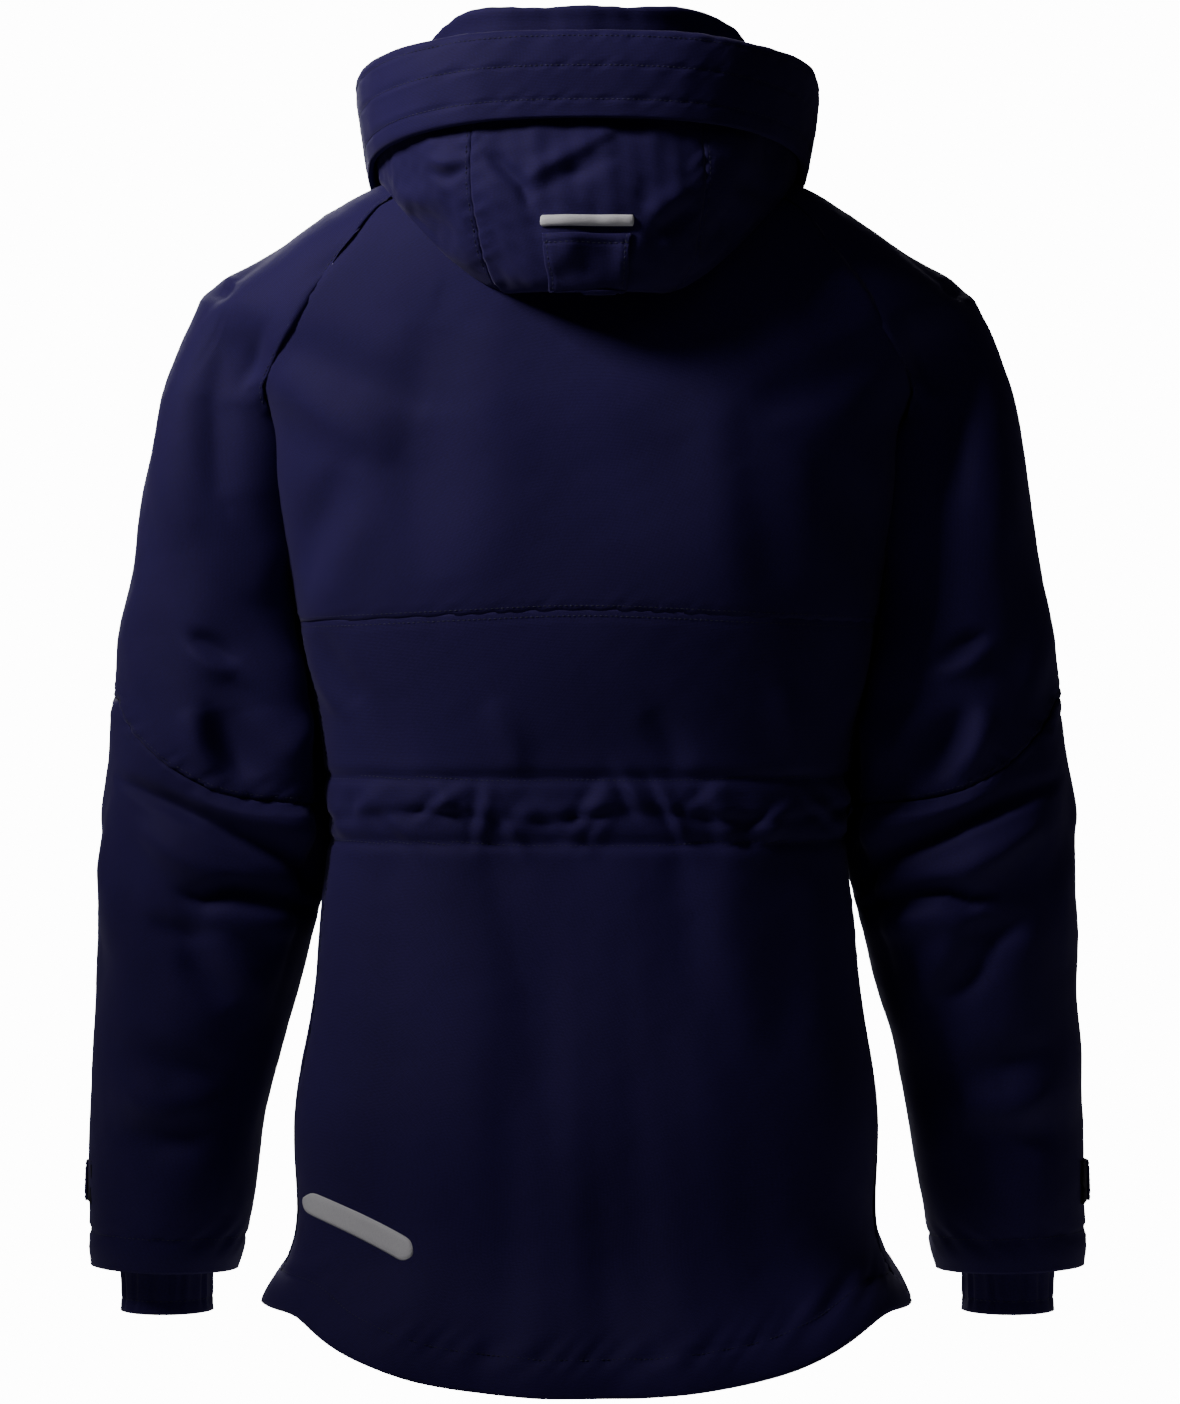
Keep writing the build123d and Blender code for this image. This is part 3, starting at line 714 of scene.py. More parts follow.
BACK_FOLDS = [
    ([(190, -118), (149, -141), (98, -158)], 15, -4.5, 0.4),
    ([(200, -140), (160, -168), (118, -190)], 12, 3.0, 0.2),
    ([(206, -230), (196, -262), (186, -290)], 10, 3.0, 0.0),
    ([(195, -290), (178, -241), (155, -200)], 13, -4.0, -0.3),
    ([(180, -300), (160, -262), (140, -225)], 12, 2.0, 0.0),
    ([(97, -110), (109, -188), (103, -270)], 26, -4.5, 0.6),
    ([(60, -105), (66, -180), (62, -270)], 26, 2.5, 0.0),
    ([(-99, -165), (-110, -219), (-118, -275)], 18, -2.0, 0.3),
    ([(-78, -150), (-86, -219), (-95, -280)], 20, 1.5, 0.2),
    ([(-190, -118), (-149, -145), (-105, -160)], 14, -4.0, 0.0),
    ([(-195, -280), (-176, -235), (-150, -190)], 14, -3.5, 0.0),
    ([(183, -296), (176, -323), (160, -352)], 7, 4.0, 0.5),
    ([(172, -300), (163, -326), (146, -348)], 9, -3.0, 0.0),
    ([(-186, -300), (-176, -330), (-160, -360)], 8, 3.0, 0.0),
    ([(62, -439), (52, -474), (36, -524), (28, -600)], 17, -5.0, 0.5),
    ([(93, -438), (88, -489), (76, -560), (70, -640)], 20, 3.5, 0.0),
    ([(124, -436), (128, -480), (122, -540)], 12, -3.0, 0.0),
    ([(-20, -440), (-33, -508), (-30, -590)], 18, 3.0, 0.0),
    ([(-56, -438), (-62, -480), (-66, -530)], 12, -3.0, 0.0),
    ([(-93, -439), (-88, -489), (-101, -570)], 14, 3.0, 0.0),
    ([(-128, -440), (-132, -500), (-124, -570)], 15, -3.5, 0.0),
    ([(150, -330), (128, -362), (110, -392)], 10, -2.6, 0.0),
    ([(60, -345), (48, -370), (44, -392)], 9, 2.2, 0.0),
    ([(-40, -350), (-52, -372), (-58, -392)], 9, -2.2, 0.0),
    ([(-120, -335), (-132, -362), (-136, -392)], 10, 2.6, 0.0),
    ([(194, -736), (178, -712), (158, -690)], 6, 2.4, 0.3),
    ([(176, -745), (159, -715), (143, -700)], 6, -2.2, 0.0),
    ([(-60, -775), (-54, -752), (-40, -728)], 7, 1.8, 0.0),
    ([(70, -770), (62, -748), (66, -725)], 7, -1.8, 0.0),
    ([(-150, -748), (-140, -725), (-146, -700)], 7, 2.0, 0.0),
]


def trunk_detail(p, n, seed):
    """The trunk's folds and drape, as a height over its smooth surface."""
    back = np.clip(n[..., 1] * 1.6 + 0.1, 0, 1)
    skirt = np.clip((WAIST_LOW - p[..., 2]) / 0.3, 0, 1)
    chest = np.clip((p[..., 2] - WAIST_TOP) / 0.1, 0, 1)
    calm = 1.25 - 0.65 * np.clip((WAIST_LOW - 0.01 - p[..., 2]) / 0.03, 0, 1)
    angle = np.arctan2(p[..., 1] - SIDE_Y, p[..., 0])
    drape = 0.0016 * np.sin(angle * 9 + 0.7 + 2.0 * np.sin(p[..., 2] * 5)) * skirt
    drape += 0.0003 * np.sin(angle * 23 + p[..., 2] * 12) * skirt
    loose = 0.0011 * ripple(p, 0.05, 0.16, 9, seed, (1, 1, 0.6)) * (0.35 + 0.65 * np.maximum(skirt, chest))
    small = 0.00008 * ripple(p, 0.012, 0.035, 10, seed + 1)
    return calm * stroke_field(p, BACK_FOLDS) * back + drape + loose + small + gather(p)


def seam_sag(angle):
    """The yoke seam hangs a little at its ends."""
    return -0.006 * np.clip(np.abs(0.21 * np.cos(angle)) / 0.2, 0, 1) ** 2


def turn_hem(panel, size, seed, groove):
    """The hem is turned up inside: a soft ridge, and puckers along its stitches."""
    hem = panel.side("b")
    panel.push(0.0012 * dent(hem, 0.012, 0.012) + puckers(panel.p, np.abs(hem - 0.026), 0.012, size, 0.014, seed)
               - groove * dent(hem, 0.025, 0.0013))


def waist_lines(panel):
    """The two stitched lines of the waist's channel."""
    for height in (WAIST_TOP, WAIST_LOW):
        z = panel.p[..., 2]
        k = np.argmin(np.abs(z - height), axis=0)
        j = np.flatnonzero((k > 0) & (k < len(z) - 1))
        points, nrm = panel.p[k[j], j], panel.n[k[j], j]
        panel.push(-0.0006 * dent(z, height, 0.0016))
        sew("torso", points, nrm, lift=-0.35)


def build_back_panel():
    """Rows from the yoke seam down to the hem, columns from the left side round to the right."""
    rows, cols = 168, 150
    angle = np.tile(np.linspace(0, 1, cols) * math.pi, (rows, 1))
    low = hem_of(np.clip(angle[0], 0.01, math.pi - 0.01))
    top = YOKE_Z + 0.0025 + seam_sag(angle[0])
    t = np.linspace(0, 1, rows)[:, None]
    panel = Panel("back_panel_cloth", trunk.at(angle, top * (1 - t) + low * t), (rows // 2, cols // 2), BACK)
    panel.push(trunk_detail(panel.p, panel.n, 21))
    finish_edges(panel, "lr", 3)
    tuck_under(panel, panel.side("t"), 0.0025)
    turn_hem(panel, 0.0007, 5, 0.0005)
    stitch_lines(panel, "torso", (0, 25.0, True), (0, 5.9))
    waist_lines(panel)
    stitch_lines(panel, "torso", (1, 3.4), (1, 3.4, True))
    panel.build(NAVY, "torso", "shell_cloth", "back_panel")
    return panel


def build_yoke():
    rows, cols = 98, 140
    t, s = np.linspace(0, 1, rows), np.linspace(0, 1, cols)
    grid = np.zeros((rows, cols, 3))
    for i, z in enumerate(-0.004 * (1 - t) + YOKE_Z * t):
        edge = max(0.0, raglan_angle(z, False) - TUCK_TURN)
        angle = edge + s * (math.pi - 2 * edge)
        grid[i] = trunk.at(angle, z + seam_sag(angle) * t[i] ** 3)
    panel = Panel("back_yoke_cloth", grid, (rows // 2, cols // 2), BACK)
    panel.push(trunk_detail(panel.p, panel.n, 21))
    finish_edges(panel, "b", 3)
    for letter in "lr":
        tuck_under(panel, panel.side(letter), 0.0042, panel.p[..., 2] > RAGLAN_LOW)
    stitch_along(panel, "torso", 0, 3.4, True)
    panel.build(NAVY, "torso", "shell_cloth", "back_yoke")


def build_front(side, m):
    rows, cols = 178, 76
    t, s = np.linspace(0, 1, rows), np.linspace(0, 1, cols)
    grid = np.zeros((rows, cols, 3))
    seen = np.ones((rows, cols), bool)
    first = 1.5 * math.pi + math.asin(min(0.9, ZIP_HALF / 0.125))
    for i, z in enumerate(SIDE_HEM * t):
        edge = min(FULL, raglan_angle(z, True) + TUCK_TURN)
        angle = first + s * (edge - first)
        low = hem_of(np.clip(angle, math.pi + 0.02, FULL - 0.02))
        here = z + (low - SIDE_HEM) * np.clip((t[i] - 0.5) / 0.5, 0, 1) ** 2
        grid[i] = trunk.at(angle, here)
        row = np.clip(((here - trunk.z[0]) / LEVEL).round().astype(int), 0, len(trunk.z) - 1)
        col = (angle / FULL * TURN).round().astype(int) % TURN
        seen[i] = trunk.hit[row, col] | (z < -0.09)
    wide = seen.copy()
    wide[:, 1:] |= seen[:, :-1]
    wide[:, :-1] |= seen[:, 1:]
    wide[:-1] |= seen[1:]
    wide[:-2] |= seen[2:]
    panel = Panel("front_panel_%s_cloth" % side, grid * (m, 1, 1), (rows // 2, 5), FRONT, mask=wide)
    panel.push(trunk_detail(panel.p, panel.n, 31 if m > 0 else 37))
    finish_edges(panel, "l", 6)
    tuck_under(panel, panel.side("r"), 0.0042, panel.p[..., 2] > RAGLAN_LOW)
    turn_hem(panel, 0.0006, 9, 0.0)
    stitch_lines(panel, "torso", (0, 25.0, True), (1, 4.0), (1, 3.4, True, 0.25))
    waist_lines(panel)
    panel.build(NAVY, "torso", "shell_cloth", "front_panel_" + side)
    return panel


back_panel = build_back_panel()
build_yoke()
fronts = {side: build_front(side, m) for side, m in SIDES}


# ---------------------------------------------------------------- raglan sleeves
# of each row: its lower and upper end in X and Z, and its middle in Y, in millimetres
CAP_ROWS = [((80, 5), (96, 6), -6), ((107, -14), (138, -13), -8), ((133, -31), (165, -27), -9),
            ((154, -60), (200, -45), -10), ((187, -107), (240, -72), -11), ((203, -136), (262, -98), -12),
            ((211, -157), (276, -140), -14)]
TUBE_ROWS = [((207, -178), (281, -165), -16), ((202, -225), (292, -223), -21), ((197, -262), (298, -258), -23),
             ((190, -300), (304, -300), -24), ((182, -336), (308, -326), -25), ((178, -372), (313, -360), -26),
             ((176, -398), (315, -382), -26), ((177, -428), (317.5, -418), -28), ((179, -455), (319, -440), -29),
             ((189, -519), (322, -510), -36), ((208, -597), (326, -592), -46), ((219, -660), (328.5, -655), -54),
             ((229.5, -721), (331, -718), -62)]
ELBOW = [(150, -406), (173, -406), (183, -412), (208, -411), (224, -409), (242, -403), (257, -395), (271, -387),
         (286, -373), (299, -359), (305, -345), (330, -335)]
OUTER_COLS = 96
INNER_COLS = 40
CAP_PER = 12
RAYS = 240
ARM_TREE = tree_of("sleeve_left", "forearm_left", "cuff_band_left")
CAP_TREE = tree_of("sleeve_left", "shoulder_panel_left", "back_yoke", "front_panel_left")


def ring_frame(b, t, yc):
    """Middle of a sleeve row and the two directions of its plane."""
    mid = np.array([(b[0] + t[0]) / 2, yc, (b[1] + t[1]) / 2]) * MM
    return mid, unit(np.array([t[0] - b[0], 0, t[1] - b[1]], float)), np.array([0, 1.0, 0])


def cap_row(b, t, yc):
    """One cap row: an arc from the back seam over the shoulder to the front seam, closed under the arm."""
    mid, u, v = ring_frame(b, t, yc)
    ends, turn = [], []
    for sign in (1, -1):
        hit = CAP_TREE.ray_cast(Vector((b[0] * MM, 0.6 * sign, b[1] * MM)), Vector((0, -sign, 0)), 0.7)[0]
        ends.append([] if hit is None else [np.array(hit)])
        d = None if hit is None else np.array(hit) - mid
        turn.append(sign * 1.9 if hit is None else math.atan2(d @ v, d @ u))
    hits = []
    for a in np.linspace(turn[0], turn[1], RAYS):
        d = u * math.cos(a) + v * math.sin(a)
        hit = CAP_TREE.ray_cast(Vector(mid + d * 0.3), Vector(-d), 0.32)[0]
        if hit is not None:
            hits.append(np.array(hit))
    outer = spread(smooth_open(np.array(ends[0] + hits + ends[1])), OUTER_COLS)
    return np.concatenate([outer, spread(outer[[-1, 0]], INNER_COLS + 2)[1:-1]])


def tube_row(b, t, yc):
    """One whole ring of the sleeve, starting at its inner back corner."""
    mid, u, v = ring_frame(b, t, yc)
    rays = [u * math.cos(a) + v * math.sin(a) for a in np.linspace(0, FULL, RAYS, endpoint=False)]
    hits = [ARM_TREE.ray_cast(Vector(mid), Vector(d), 0.2)[3] for d in rays]
    r = fill_gaps(np.array([np.nan if h is None else h + 0.0025 for h in hits]))
    points = mid + smooth_rows(r[:, None], 1.5, True) * np.array(rays)
    start, stop = int(RAYS * 0.36), int(RAYS * 0.64)
    outer = np.concatenate([points[start::-1], points[:stop - 1:-1]])
    inner = spread(points[stop:start - 1:-1], INNER_COLS + 2)[1:-1]
    return np.concatenate([spread(outer, OUTER_COLS), inner])


def dense_rows(rows, per):
    """Catmull-Rom interpolation between measured rings."""
    out = []
    last = len(rows) - 1
    for i in range(last):
        p0, p1, p2, p3 = rows[max(i - 1, 0)], rows[i], rows[i + 1], rows[min(i + 2, last)]
        for t in np.arange(per) / per:
            out.append(0.5 * (2 * p1 + (p2 - p0) * t + (2 * p0 - 5 * p1 + 4 * p2 - p3) * t * t
                              + (3 * p1 - p0 - 3 * p2 + p3) * t ** 3))
    return np.array(out + [rows[-1]])


ARM_TABLE = dense_rows([cap_row(*r) for r in CAP_ROWS] + [tube_row(*r) for r in TUBE_ROWS], CAP_PER)
CAP_END = (len(CAP_ROWS) - 1) * CAP_PER


def elbow_row(j):
    """Where the elbow's seam crosses a column of the sleeve."""
    col = ARM_TABLE[CAP_END:, j]
    over = col[:, 2] - np.interp(col[:, 0] * 1000, *zip(*ELBOW)) * MM
    k = max(1, int(np.argmax(over < 0)))
    return [CAP_END + k - 1 + over[k - 1] / (over[k - 1] - over[k] + 1e-12)]


ELBOW_ROW = smooth_rows(np.array([elbow_row(j) for j in range(ARM_TABLE.shape[1])]), 1.2, True)[:, 0]


def arm_grid(top, low, rows):
    """A grid read out of the sleeve's table between two rows, each a number or one per column."""
    t = np.linspace(0, 1, rows)[:, None]
    where = np.clip(top * (1 - t) + low * t + 0 * ELBOW_ROW, 0, len(ARM_TABLE) - 1.001)
    i = where.astype(int)
    j = np.arange(ARM_TABLE.shape[1])
    f = (where - i)[..., None]
    return ARM_TABLE[i, j] * (1 - f) + ARM_TABLE[i + 1, j] * f


UPPER_FOLDS = [
    ([(233, -106), (241, -155), (235, -214)], 13, -3.5, 0.5),
    ([(262, -130), (268, -190), (262, -250)], 16, 2.5, 0.0),
    ([(254, -303), (242, -311), (228, -321)], 6, -3.0, 0.0),
    ([(256, -311), (244, -319), (230, -330)], 7, 2.2, 0.0),
    ([(243, -352), (236, -372), (224, -396)], 8, -4.5, 0.4),
    ([(256, -350), (250, -370), (240, -392)], 9, 3.0, 0.0),
    ([(222, -350), (212, -372), (204, -398)], 9, 2.6, 0.0),
    ([(252, -71), (240, -76), (230, -82)], 5, -2.6, 0.0),
    ([(196, -250), (206, -285), (200, -320)], 10, -3.0, 0.0),
    ([(290, -270), (296, -305), (284, -345)], 10, 2.0, 0.0),
    ([(180, -345), (196, -362), (214, -385)], 8, 2.0, 0.0),
]
LOWER_FOLDS = [
    ([(302, -398), (280, -409), (244, -423), (224, -436), (208, -449), (182, -469)], 6, -5.0, 0.5),
    ([(256, -408), (229, -419), (204, -427), (182, -436)], 11, 4.5, 0.0),
    ([(290, -425), (268, -440), (240, -455), (220, -462)], 10, 3.5, 0.0),
    ([(262, -470), (247, -474), (233, -468), (213, -476), (184, -482)], 5.5, -4.5, 0.4),
    ([(250, -484), (226, -486), (196, -494)], 9, 2.6, 0.0),
    ([(284, -486), (268, -495), (246, -495)], 7, -2.2, 0.0),
    ([(262, -495), (250, -518), (233, -541)], 9, -2.8, 0.0),
    ([(240, -492), (232, -515), (216, -536)], 9, 2.2, 0.0),
    ([(302, -570), (267, -584), (237, -585)], 11, -2.4, 0.0),
    ([(306, -626), (280, -633), (244, -623)], 11, -2.6, 0.0),
    ([(300, -600), (272, -608), (240, -604)], 11, 2.2, 0.0),
    ([(316, -440), (308, -470), (312, -510)], 8, 2.0, 0.0),
]
SHOULDER_TRIM = [([(170, -30), (205, -45), (222, -56), (238, -70), (250, -86)], 17, -7.0, 0.0)]
# how far the sleeve's inner side is drawn in at each height
TUCK_Z = (-0.560, -0.500, -0.450, -0.385, -0.300, -0.200, -0.156, -0.144)
TUCK_BY = (0.0, 0.010, 0.0180, 0.0200, 0.0155, 0.0095, 0.007, 0.0)


def arm_detail(p, n, folds, seed):
    """A sleeve's folds, as a height over its smooth surface."""
    back = np.clip(n[..., 1] * 1.8 + 0.25, 0, 1)
    front = np.clip(-n[..., 1] * 1.5, 0, 1)
    total = 2.2 * stroke_field(p, folds) * back + stroke_field(p + (0.012, 0, 0.02), folds) * front * 0.8
    total += 0.0013 * ripple(p, 0.045, 0.13, 9, seed, (1, 1, 0.8))
    return total + 0.0001 * ripple(p, 0.012, 0.03, 10, seed + 1)


def tuck_corner(panel):
    """Let the sleeve's inner side lie against the trunk down to where they part."""
    at = np.arange(panel.p.shape[1])
    back = dent(np.minimum(at, len(at) - at), 0, 8.0)
    front = dent(at, OUTER_COLS - 0.5, 8.0)
    inner = 0.45 * np.clip((at - OUTER_COLS + 6) / 6.0, 0, 1)
    size = np.interp(panel.p[..., 2], TUCK_Z, TUCK_BY)
    panel.move(panel.p + np.stack([-size * np.maximum.reduce([back, front, inner]),
                                   size * 0.3 * (back - front), 0 * size], -1))


def arm_panel(name, grid, row, mask=None):
    """A piece of the sleeve all the way round, with its normals away from the arm."""
    at = (row, OUTER_COLS // 2)
    return Panel(name, grid, at, grid[at] - grid[row].mean(0), wrap=True, mask=mask)


def bend_at_elbow(panel):
    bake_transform(panel.obj)


def build_upper(side, m, seed):
    cap_rows = 50
    grid = np.concatenate([arm_grid(0, CAP_END, cap_rows), arm_grid(CAP_END, ELBOW_ROW, 92)[1:]])
    mask = np.ones(grid.shape[:2], bool)
    mask[:30, OUTER_COLS:] = False
    panel = arm_panel("raglan_sleeve_" + side, grid, 110, mask)
    row = np.arange(len(grid))[:, None]
    panel.push(arm_detail(panel.p, panel.n, UPPER_FOLDS, seed) * np.clip(row / 14.0, 0.25, 1))
    panel.push(stroke_field(panel.p, SHOULDER_TRIM) * np.clip(panel.n[..., 2] * 2, 0, 1))
    tuck_corner(panel)
    low = panel.side("b")
    panel.push(puckers(panel.p, low, 0.012, 0.0009, 0.0085, 2) - 0.0010 * dent(low, 0, 0.0014))
    # the raglan seams are the first and last outer columns of the cap
    to_back, to_front = (np.linalg.norm(panel.p - panel.p[:, [j]], axis=-1) for j in (0, OUTER_COLS - 1))
    seam = np.minimum(to_back, to_front)
    panel.push((row < cap_rows + 4) * (puckers(panel.p, seam, 0.009, 0.0003, 0.009, 1)
                                       - 0.0003 * (dent(seam, 0, 0.0013) + dent(seam, 0.0034, 0.0013))))
    panel.mirror(m)
    for run, cols in ((to_back, range(12)), (to_front, range(OUTER_COLS - 1, OUTER_COLS - 13, -1))):
        cols = list(cols)
        points = np.array([read_at(panel.p[i, cols], run[i, cols], 0.0034) for i in range(cap_rows)])
        sew("torso", smooth_rows(points, 1.5, False), smooth_rows(panel.n[:cap_rows, cols[1]], 2.0, False))
    sew_ring(panel, "sleeve_" + side, 0.0034, -2, low)
    panel.build(NAVY, None, "shell_cloth", "sleeve_" + side, "shoulder_panel_" + side)
    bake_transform(panel.obj)


def build_forearm(side, m, seed):
    rows = 118
    panel = arm_panel("forearm_%s_cloth" % side, arm_grid(ELBOW_ROW, len(ARM_TABLE) - 1.0, rows), 60)
    row = np.arange(rows)[:, None]
    fade = np.clip(row / 5.0, 0.2, 1) * np.clip((rows - 1 - row) / 14.0, 0.3, 1)
    panel.push(arm_detail(panel.p, panel.n, LOWER_FOLDS, seed) * fade)
    tuck_corner(panel)
    top, end = panel.side("t"), panel.side("b")
    panel.push(puckers(panel.p, top, 0.010, 0.0006, 0.0085, 2) - 0.0010 * dent(top, 0, 0.0014))
    panel.push(puckers(panel.p, np.abs(end - 0.024), 0.009, 0.0005, 0.012, 7)
               - 0.0008 * dent(end, 0.0235, 0.0016) + 0.001 * dent(end, 0.012, 0.008))
    panel.mirror(m)
    sew_ring(panel, "forearm_" + side, 0.0235, -8, end)
    panel.build(NAVY, None, "shell_cloth", "forearm_" + side, "cuff_band_" + side)
    bend_at_elbow(panel)


for side, m in SIDES:
    build_upper(side, m, 50 if m > 0 else 60)
    build_forearm(side, m, 54 if m > 0 else 64)


# ---------------------------------------------------------------- collar
COLLAR_BOTTOM, COLLAR_TOP = heights_of("collar")
COLLAR_TREE = tree_of("collar")
AXIS_Y = -0.008
COLLAR_GAP = 0.083
COLLAR_ANGLES = np.linspace(-math.pi / 2 + COLLAR_GAP, 1.5 * math.pi - COLLAR_GAP, 200)


def collar_ray(s, r, a):
    """A point round the neck, on the collar's tilted outline at a share of its height."""
    y = AXIS_Y + r * math.sin(a)
    front = COLLAR_BOTTOM + 0.107 * s
    rear = 0.002 + (COLLAR_TOP - 0.002) * s
    return Vector((r * math.cos(a), y, front + (rear - front) * (y + 0.098) / 0.183))


def collar_point(s, a):
    """The collar's outer surface at a share of its height and an angle."""
    start, end = collar_ray(s, 0.16, a), collar_ray(s, 0.0, a)
    hit = COLLAR_TREE.ray_cast(start, (end - start).normalized(), 0.12)[0]
    return MISS if hit is None else np.array(hit)


def build_collar():
    shares = np.clip(np.linspace(-0.02, 0.97, 34), 0.02, 0.97)
    wall = np.array([[collar_point(s, a) for a in COLLAR_ANGLES] for s in shares])
    for row in wall:
        fill_open(row)
    wall = smooth_grid(wall, 1.0, 1.5)
    lift = np.linspace(0, 1, len(wall))[:, None] ** 2 * dent(np.abs(wall[..., 0]), 0.078, 0.03)
    wall[..., 2] += 0.006 * lift * (wall[..., 1] > AXIS_Y)
    top = wall[-1]
    up = unit(top - wall[-4])
    inward = np.cross(unit(np.gradient(top, axis=0)), up)
    if inward[100] @ (np.array([0, AXIS_Y, 0.05]) - top[100]) < 0:
        inward = -inward
    radius = 0.0032
    roll = [top + up * radius * math.sin(t) + inward * radius * (1 - math.cos(t))
            for t in np.linspace(0.25, math.pi, 9)]
    inner = [top + inward * (2 * radius) - up * d for d in (0.004, 0.008, 0.012)]
    panel = Panel("collar_cloth", np.concatenate([wall, roll, inner]), (10, 100), BACK, 1.2)
    panel.push(0.0009 * ripple(panel.p, 0.03, 0.08, 8, 71) + 0.0002 * ripple(panel.p, 0.01, 0.02, 6, 72))
    below = np.linalg.norm(panel.p - panel.p[34:35], axis=-1)
    panel.push(-0.0005 * dent(below, 0.007, 0.0014) * (np.arange(len(panel.p)) < 34)[:, None])
    sew("torso", np.array([along(panel.p[34::-1, j], 0.07) for j in range(len(COLLAR_ANGLES))]), panel.n[30])
    panel.build(NAVY, "torso", "shell_cloth", "collar")

    lining = wall[::-1][2:]
    depth = 0.0056 + 0.0006 * np.sin(np.linspace(0, 3.14, len(lining)))[:, None, None]
    fleece = Panel("collar_fleece", lining + inward * depth - up * 0.002, (10, 100), FRONT, 1.6)
    fleece.push(0.0007 * ripple(fleece.p, 0.02, 0.06, 8, 73) + 0.0003 * ripple(fleece.p, 0.006, 0.012, 8, 74))
    fleece.build(FLEECE, "torso", "fleece", "collar_lining")
    return wall


COLLAR_WALL = build_collar()


# ---------------------------------------------------------------- stowed hood
POUCH_TREE = tree_of("hood_centre", "hood_side_left", "hood_side_right")
BRIM_TREE = tree_of("hood_brim")
HOOD_Y = 0.012
HOOD_ROWS = 70
HOOD_TURN = np.linspace(-0.62, math.pi + 0.62, 230)


def hood_section(a):
    """The pouch's outer wall at one angle, from under the brim down to where it meets the back."""
    out = np.array([math.cos(a), math.sin(a), 0])
    sinks = 0.5 - 0.5 * math.sin(a)
    centre = out * (0.106 + 0.004 * math.cos(a) ** 2) + (0, HOOD_Y, -0.008 + 0.014 * sinks)
    points = []
    for e in np.linspace(0.95, -1.75, 90):
        d = out * math.cos(e) + np.array([0, 0, math.sin(e)])
        hit = POUCH_TREE.ray_cast(Vector(centre + d * 0.2), Vector(-d), 0.2)
        if hit[0] is not None and hit[3] < 0.197:
            points.append(np.array(hit[0]))
    if len(points) < 6:
        return np.full((HOOD_ROWS, 3), np.nan)
    points = np.array(points)
    steps = np.linalg.norm(np.diff(points, axis=0), axis=1)
    jumps = [k for k, step in enumerate(steps) if step > 0.03 and k > 10]
    return spread(points[:jumps[0] + 1] if jumps else points, HOOD_ROWS)


POUCH_TABLE = np.array([hood_section(a) for a in HOOD_TURN])
found = ~np.isnan(POUCH_TABLE[:, 0, 0])
HOOD_TURN = HOOD_TURN[found]
POUCH_TABLE = smooth_grid(POUCH_TABLE[found], 3.0, 1.2)

HOOD_FOLDS = [
    ([(62, -6), (54, -14), (42, -26), (36, -40)], 4.0, -3.2, 0.3),
    ([(39, -24), (29, -17), (3, -4), (-17, 8)], 5, 2.2, 0.4),
    ([(36, -34), (22, -25), (0, -16), (-20, -8)], 5, -1.3, 0.0),
    ([(96, -8), (86, -11), (77, -9)], 4, 2.4, 0.0),
    ([(99, -16), (88, -19), (78, -16)], 4, -1.8, 0.0),
    ([(-44, -57), (-56, -47), (-67, -37)], 6, -3.4, 0.2),
    ([(-36, -48), (-50, -38), (-62, -28)], 7, 2.6, 0.0),
    ([(-70, -68), (-85, -57), (-101, -39)], 8, -3.4, 0.2),
    ([(-62, -74), (-78, -66), (-92, -54)], 6, 2.2, 0.0),
    ([(116, -35), (97, -45), (82, -63)], 8, -3.0, 0.0),
    ([(122, -26), (106, -34), (90, -46)], 8, 2.4, 0.0),
    ([(24, -80), (14, -70), (8, -58)], 6, 1.6, 0.0),
    ([(-24, -78), (-30, -66), (-34, -56)], 6, 1.6, 0.0),
    ([(-92, -18), (-104, -24), (-118, -28)], 7, -2.4, 0.0),
]


def hood_panel(name, first, last, cols):
    """Part of the pouch between two angles, its lower edge turned in."""
    where = np.interp(np.linspace(first, last, cols), HOOD_TURN, np.arange(len(HOOD_TURN)))
    i = np.clip(where.astype(int), 0, len(HOOD_TURN) - 2)
    f = (where - i)[:, None, None]
    grid = np.swapaxes(POUCH_TABLE[i] * (1 - f) + POUCH_TABLE[i + 1] * f, 0, 1)
    away = (grid - (0, HOOD_Y, 0)) * (1, 1, 0)
    grid = np.concatenate([grid, grid[-1:] - unit(away[-1:]) * 0.004 - (0, 0, 0.001)])
    panel = Panel(name, grid, (30, cols // 2), away[30, cols // 2])
    back = np.clip(panel.n[..., 1] * 1.6 + 0.4, 0, 1)
    fade = np.clip((HOOD_ROWS - np.arange(HOOD_ROWS + 1)) / 6.0, 0, 1)[:, None]
    panel.push((1.5 * stroke_field(panel.p, HOOD_FOLDS) * back + 0.0016 * ripple(panel.p, 0.03, 0.09, 9, 81)
                + 0.0003 * ripple(panel.p, 0.008, 0.02, 9, 82)) * fade)
    return panel


SEAM_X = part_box("hood_centre")[1][0]
left_seam, right_seam = (float(np.interp(-x, -POUCH_TABLE[:, HOOD_ROWS // 2, 0], HOOD_TURN))
                         for x in (SEAM_X, -SEAM_X))
HOOD_PANELS = {}
for name, first, last, cols, sides in (("hood_centre", left_seam, right_seam, 84, "lr"),
                                       ("hood_side_left", HOOD_TURN[0], left_seam, 96, "r"),
                                       ("hood_side_right", right_seam, HOOD_TURN[-1], 96, "l")):
    panel = hood_panel(name + "_cloth", first, last, cols)
    finish_edges(panel, sides, 8)
    if name != "hood_centre":
        stitch_along(panel, "torso", 1, 3.4, sides == "r")
    panel.build(NAVY, "torso", "shell_cloth", name)
    HOOD_PANELS[name] = panel


def brim_point(a, v):
    """The turned-back brim's outer surface at an angle and a share of its height."""
    y = HOOD_Y + 0.14 * math.sin(a)
    for _ in range(2):
        low = -0.022 + (y + 0.066) * 0.1637
        high = 0.042 + (y + 0.066) * 0.1239
        start = Vector((0, HOOD_Y, low + (high - low) * v)) + around(a) * 0.25
        hit = BRIM_TREE.ray_cast(start, -around(a), 0.24)[0]
        if hit is None:
            return MISS
        y = hit.y
    return np.array(hit)


